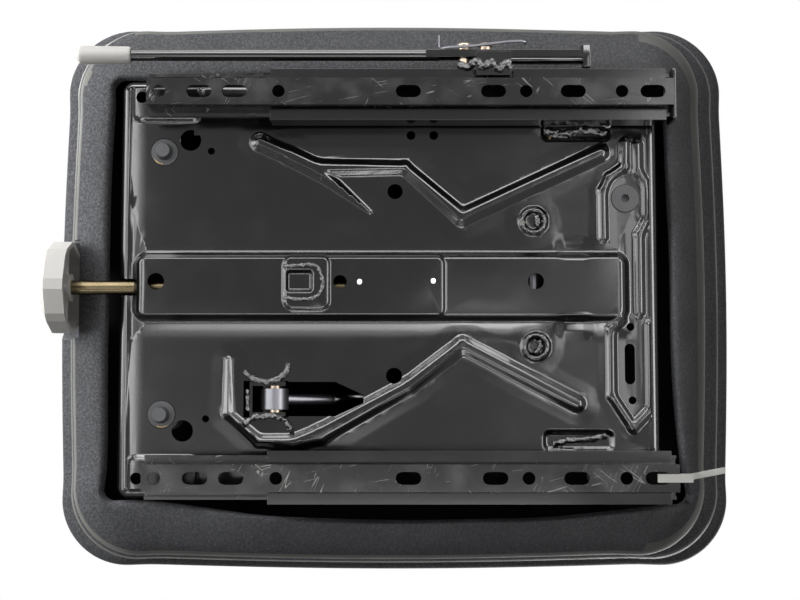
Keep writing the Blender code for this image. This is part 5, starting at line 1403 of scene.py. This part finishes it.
@dataclass
class Knob:
    """The adjusting knob: wide and narrow flats round its rim, a domed face, and spokes in its open back.

    Args:
        flats: how many wide flats, with a narrow one between each two.
        narrow: angle of a narrow flat in degrees.
        wall: thickness of the rim.
        hollow: depth of the open back.
        hub: the hub's radius.
        spoke: thickness of a spoke.
        dome: height of the domed face.
        hub_floor: thickness left in front of the shaft.
        spoke_sink: how far the spokes lie behind the hub's end.
        rounding: width of the rounded edges.
    """

    flats: int = 8
    narrow: float = 13.0
    wall: float = 0.0036
    hollow: float = 0.0110
    hub: float = 0.0105
    spoke: float = 0.0030
    dome: float = 0.0078
    hub_floor: float = 0.0120
    spoke_sink: float = 0.003
    rounding: float = 0.0008

    def build(self) -> bpy.types.Object:
        """Shapes the rim, hollows the back and sets the hub and spokes in it.

        Returns:
            The finished knob.
        """
        low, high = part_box("knob")
        middle = (low + high) / 2
        radius = (high.x - low.x) / 2
        rim = low.y + self.dome
        knob = cylinder("knob_body", (0, rim, middle.z), (0, high.y, middle.z), radius, 2 * self.flats)
        fix_place(knob)
        self._space_flats(knob, middle.z, radius)
        self._edit_face(knob, -1)
        bpy.ops.mesh.inset(thickness=radius * 0.32, depth=self.dome * 0.62)
        bpy.ops.mesh.inset(thickness=radius * 0.34, depth=self.dome * 0.36)
        bpy.ops.object.mode_set(mode="OBJECT")
        self._edit_face(knob, 1)
        bpy.ops.mesh.inset(thickness=self.wall)
        bpy.ops.mesh.extrude_region_move(TRANSFORM_OT_translate={"value": (0, -self.hollow, 0)})
        bpy.ops.object.mode_set(mode="OBJECT")
        back = high.y - 0.0008
        hub = cylinder("knob_hub", (0, back - self.hollow, middle.z), (0, back, middle.z), self.hub, 32)
        united(knob, hub)
        reach = radius - 0.5 * self.wall
        half = self.spoke / 2
        depth = self.hollow - 0.004
        near, far = back - depth, back - self.spoke_sink
        across = block("spoke", (-reach, near, middle.z - half), (reach, far, middle.z + half))
        united(knob, across)
        upright = block("spoke", (-half, near, middle.z - reach), (half, far, middle.z + reach))
        united(knob, upright)
        bore = (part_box("adjuster_shaft")[1].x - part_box("adjuster_shaft")[0].x) / 2 + 0.0002
        bore_start, bore_end = (0, low.y + self.hub_floor, middle.z), (0, high.y + 0.01, middle.z)
        cut(knob, cylinder("knob_bore", bore_start, bore_end, bore, 32))
        apply_modifier(
            knob, "BEVEL", width=self.rounding, segments=2, limit_method="ANGLE", angle_limit=math.radians(18)
        )
        settle(knob, PALE_PLASTIC, 40.0)
        apply_modifier(knob, "WEIGHTED_NORMAL", keep_sharp=True)
        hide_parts("knob")
        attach(knob, NODE_BODY["knob"])
        return knob

    def _space_flats(self, knob: bpy.types.Object, height: float, radius: float) -> None:
        """Turns every second corner so that wide and narrow flats alternate."""
        pitch = 2 * math.pi / self.flats
        half = math.radians(self.narrow) / 2
        for vertex in knob.data.vertices:
            turn = math.atan2(vertex.co.z - height, vertex.co.x) % (2 * math.pi)
            corner = round(turn / (pitch / 2))
            turn = (corner // 2) * pitch + (half if corner % 2 == 0 else pitch - half)
            vertex.co.x = radius * math.cos(turn)
            vertex.co.z = height + radius * math.sin(turn)

    @staticmethod
    def _edit_face(knob: bpy.types.Object, side: int) -> None:
        """Opens edit mode with the knob's face on one side selected."""
        select(knob)
        for item in (*knob.data.vertices, *knob.data.edges):
            item.select = False
        for face in knob.data.polygons:
            face.select = face.normal.y * side > 0.9
        bpy.ops.object.mode_set(mode="EDIT")
        bpy.context.tool_settings.mesh_select_mode = (False, False, True)


def lumpy(name: str, places: Sequence[Place], radius: float, finish: Finish) -> bpy.types.Object:
    """Makes one lumpy bead of weld or grease.

    Args:
        name: the object's name.
        places: its middle line.
        radius: its mean radius.
        finish: the finish to wear.

    Returns:
        The bead.
    """
    bead = tube(name, places, radius, 4)
    bead.name = name
    clouds = bpy.data.textures.get("weld_lumps") or bpy.data.textures.new("weld_lumps", "CLOUDS")
    clouds.noise_scale = LUMP_SIZE
    welded(bead)
    apply_modifier(bead, "SUBSURF", levels=1, render_levels=1)
    apply_modifier(bead, "DISPLACE", texture=clouds, strength=radius * 1.3, mid_level=0.5)
    return settle(bead, finish, 80.0)


@dataclass
class PanDetails:
    """The weld beads and rivets on the pan's underside, set on its pressed surface.

    Args:
        pan: the pan whose surface they stand on.
        flange_sink: how far the flared flanges stand proud of it.
    """

    pan: LowerPan
    flange_sink: float = 0.0014

    def beads(self) -> dict[str, tuple[float, list[Point]]]:
        """Returns each bead's radius and its way across the pan."""
        square = [
            (0.0148, -0.0835),
            (0.0156, -0.0700),
            (0.0148, -0.0590),
            (0.0070, -0.0545),
            (-0.0040, -0.0550),
            (-0.0092, -0.0610),
            (-0.0100, -0.0740),
            (-0.0088, -0.0835),
        ]
        return {
            "weld_square": (0.0016, square),
            "weld_boss_left": (0.0024, [(0.0556, 0.1086), (0.0500, 0.1100), (0.0466, 0.1084)]),
            "weld_boss_left_ring": (0.0013, self._arc((0.0505, 0.1063), 0.0088, 60.0, 290.0)),
            "weld_boss_right": (0.0022, [(-0.0400, 0.1098), (-0.0460, 0.1108), (-0.0500, 0.1060)]),
            "weld_boss_right_ring": (0.0013, self._arc((-0.0454, 0.1076), 0.0088, -110.0, 130.0)),
            "weld_pocket_left": (
                0.0034,
                [(0.1215, 0.1150), (0.1185, 0.1290), (0.1220, 0.1450), (0.1190, 0.1630)],
            ),
            "weld_pocket_right": (
                0.0027,
                [(-0.1190, 0.1200), (-0.1160, 0.1330), (-0.1150, 0.1480), (-0.1125, 0.1610)],
            ),
            "weld_bracket_side": (0.0019, [(-0.0776, -0.1104), (-0.0860, -0.1106), (-0.0944, -0.1104)]),
            "flared_flange_left": (
                0.0025,
                [
                    (-0.0636, -0.1135),
                    (-0.0680, -0.1095),
                    (-0.0712, -0.1020),
                    (-0.0712, -0.0920),
                    (-0.0680, -0.0850),
                    (-0.0645, -0.0818),
                    (-0.0580, -0.0800),
                ],
            ),
            "flared_flange_right": (
                0.0025,
                [
                    (-0.1040, -0.1128),
                    (-0.0998, -0.1080),
                    (-0.0984, -0.0990),
                    (-0.0990, -0.0870),
                    (-0.1040, -0.0800),
                    (-0.1082, -0.0785),
                ],
            ),
        }

    @staticmethod
    def _arc(middle: Point, radius: float, start: float, end: float) -> list[Point]:
        """Returns points along an arc, its angles in degrees."""
        turns = [math.radians(start + (end - start) * i / 6) for i in range(7)]
        return [(middle[0] + radius * math.cos(turn), middle[1] + radius * math.sin(turn)) for turn in turns]

    def build(self) -> list[bpy.types.Object]:
        """Adds the beads, bare spots and rivets.

        Returns:
            The new pieces.
        """
        pieces = [self._bead(name, radius, way, WELD_BLACK) for name, (radius, way) in self.beads().items()]
        for name, middle, start, end in (
            ("left", (0.1039, -0.1760), 185.0, 240.0),
            ("right", (-0.0968, -0.1760), 150.0, 200.0),
        ):
            arc = self._arc(middle, 0.0093, start, end)
            pieces.append(self._bead(f"bumper_foot_{name}", 0.0007, arc, PRIMER))
        for name, spot in (
            ("boss", [(0.0487, 0.0990), (0.0500, 0.0998)]),
            ("pocket_a", [(0.1190, 0.1490), (0.1202, 0.1508)]),
            ("pocket_b", [(0.1150, 0.1190), (0.1160, 0.1200)]),
        ):
            pieces.append(self._bead(f"bare_spot_{name}", 0.0009, spot, PRIMER))
        for name, place in (("front", (0.0032, -0.0260)), ("rear", (0.0039, 0.0296))):
            pieces.append(self._rivet(f"rib_rivet_{name}", place))
        for piece in pieces:
            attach(piece, "carriage")
        return pieces

    def _height(self, place: Point) -> float:
        """Returns how high the pan's underside is at a place."""
        return float(self.pan.surface(np.array([place[0]]), np.array([place[1]]))[0])

    def _bead(self, name: str, radius: float, way: list[Point], finish: Finish) -> bpy.types.Object:
        """Adds one lumpy bead along the pan's surface."""
        sink = self.flange_sink if name.startswith("flared") else 0.0
        return lumpy(name, [(x, y, self._height((x, y)) - sink) for x, y in way], radius, finish)

    def _rivet(self, name: str, place: Point) -> bpy.types.Object:
        """Adds a small bright rivet with a dimple."""
        base = self._height(place)
        rivet = cylinder(name, (*place, base + 0.0005), (*place, base - 0.0012), 0.0019, 24)
        fix_place(rivet)
        for item in (*rivet.data.vertices, *rivet.data.edges):
            item.select = False
        for face in rivet.data.polygons:
            face.select = face.normal.z < -0.9
        bpy.ops.object.mode_set(mode="EDIT")
        bpy.context.tool_settings.mesh_select_mode = (False, False, True)
        bpy.ops.mesh.bevel(offset=0.0006, segments=3, affect="EDGES")
        bpy.ops.mesh.inset(thickness=0.0005)
        bpy.ops.mesh.extrude_region_move(TRANSFORM_OT_translate={"value": (0, 0, 0.0006)})
        bpy.ops.object.mode_set(mode="OBJECT")
        return settle(rivet, BRIGHT_STEEL, 40.0)


@dataclass
class LeverDetails:
    """The release lever's second channel wall, its end piece, and the grease on its latch plate.

    Args:
        wall_low: the wall's low corner.
        wall_high: its high corner.
        end_low: the end piece's low corner.
        end_high: its high corner.
        rounding: width of their rounded edges.
        grease_radius: the grease's mean radius.
        grease: the middle line of the grease.
    """

    wall_low: Place = (0.1687, 0.0650, 0.0125)
    wall_high: Place = (0.1713, 0.1432, 0.0240)
    end_low: Place = (0.1640, 0.1425, 0.0110)
    end_high: Place = (0.1810, 0.1478, 0.0250)
    rounding: float = 0.0006
    grease_radius: float = 0.0028
    grease: tuple[Place, ...] = (
        (0.1655, 0.0480, 0.0105),
        (0.1640, 0.0560, 0.0090),
        (0.1670, 0.0620, 0.0070),
        (0.1625, 0.0670, 0.0056),
        (0.1660, 0.0730, 0.0054),
        (0.1612, 0.0780, 0.0056),
        (0.1655, 0.0840, 0.0058),
        (0.1620, 0.0880, 0.0070),
    )

    def build(self) -> list[bpy.types.Object]:
        """Adds the pieces, all of them on the lever.

        Returns:
            The new pieces.
        """
        pieces = [lumpy("latch_grease", self.grease, self.grease_radius, WELD_BLACK)]
        for name, low, high in (
            ("lever_channel_wall", self.wall_low, self.wall_high),
            ("lever_channel_end", self.end_low, self.end_high),
        ):
            piece = block(name, low, high)
            fix_place(piece)
            apply_modifier(piece, "BEVEL", width=self.rounding, segments=2)
            pieces.append(settle(piece, GLOSS_BLACK))
        for piece in pieces:
            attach(piece, NODE_BODY["release_lever"])
        return pieces


@dataclass
class Dressing:
    """Finishes for CAD nodes whose shape is right, with rounded edges where they show.

    Args:
        rounded: each node that is copied, with its finish and the width of its rounding.
        plain: the finish of the other nodes, by their slot.
        dull_roofs: for some nodes, the height above which faces that look down are dull.
    """

    rounded: dict[str, tuple[Finish, float]] = field(
        default_factory=lambda: {
            "lower_rail_left": (RAIL_BLACK, 0.0015),
            "lower_rail_right": (RAIL_BLACK, 0.0015),
            "upper_rail_left": (GLOSS_BLACK, 0.0014),
            "upper_rail_right": (GLOSS_BLACK, 0.0014),
            "rail_end_stop": (GLOSS_BLACK, 0.0006),
            "damper_bracket": (GLOSS_BLACK, 0.0007),
            "damper_rod": (DARK_STEEL, 0.0005),
            "damper_body": (GLOSS_BLACK, 0.0008),
            "damper_lower_pin": (BARE_STEEL, 0.0006),
            "release_lever": (GLOSS_BLACK, 0.0005),
            "lever_grip": (PALE_PLASTIC, 0.0006),
            "lever_pivot_rivet": (BARE_STEEL, 0.0003),
            "lever_stop_rivet": (BARE_STEEL, 0.0003),
            "lever_spring": (DARK_STEEL, 0.0002),
            "bumper_left": (RUBBER, 0.0006),
            "bumper_right": (RUBBER, 0.0006),
            "rear_plug": (RUBBER, 0.0006),
            "upper_housing": (GLOSS_BLACK, 0.0),
            "cable_tie": (NYLON, 0.0002),
            # The shaft wears the darker zinc, whose colour paints its shade.
            "adjuster_shaft": (SHADED_ZINC, 0.0008),
            "tension_bar": (GLOSS_BLACK, 0.0006),
        }
    )
    plain: dict[str, Finish] = field(
        default_factory=lambda: {
            "black_paint": GLOSS_BLACK,
            "dark_steel": DARK_STEEL,
            "yellow_zinc": ZINC,
            "bare_steel": BARE_STEEL,
            "pale_plastic": PALE_PLASTIC,
            "rubber": RUBBER,
            "boot_vinyl": BOOT_GRAIN,
            "nylon": NYLON,
        }
    )

    dull_roofs: dict[str, float] = field(
        default_factory=lambda: {"upper_housing": 0.10, "upper_rail_left": 0.015, "upper_rail_right": 0.015}
    )

    @staticmethod
    def _dull(piece: bpy.types.Object, height: float) -> None:
        """Gives the faces that look down from above a height the dull finish of an inside."""
        piece.data.materials.append(DULL_BLACK.material())
        for face in piece.data.polygons:
            if face.normal.z < -0.3 and face.center.z > height:
                face.material_index = 1

    def build(self) -> None:
        """Rounds and finishes the nodes that show, and finishes all the others."""
        slots = {part["node"]: part["material_slot"] for part in frame["record"]["subparts"]}
        for node, source in frame["nodes"].items():
            source.data.materials.clear()
            source.data.materials.append(self.plain[slots[node]].material())
        for node in ("ball_cage_left", "ball_cage_right"):
            frame["nodes"][node].data.materials[0] = DULL_BLACK.material()
        for node, (finish, width) in self.rounded.items():
            piece = rounded_copy(node, finish, width)
            if node in self.dull_roofs:
                self._dull(piece, self.dull_roofs[node])
            LOG.info("%s: %d faces", piece.name, len(piece.data.polygons))


def main() -> None:
    """Builds the camera, the studio and every piece, and reports each."""
    logging.basicConfig(level=logging.INFO, format="%(message)s")
    PhotoCamera().build()
    Studio().build()
    Dressing().build()
    pan = LowerPan()
    for part in (pan, Boot(), Knob()):
        piece = part.build()
        LOG.info("%s: %d faces", piece.name, len(piece.data.polygons))
    for piece in (*PanDetails(pan).build(), *LeverDetails().build()):
        LOG.info("%s: %d faces", piece.name, len(piece.data.polygons))


if __name__ == "__main__":
    main()
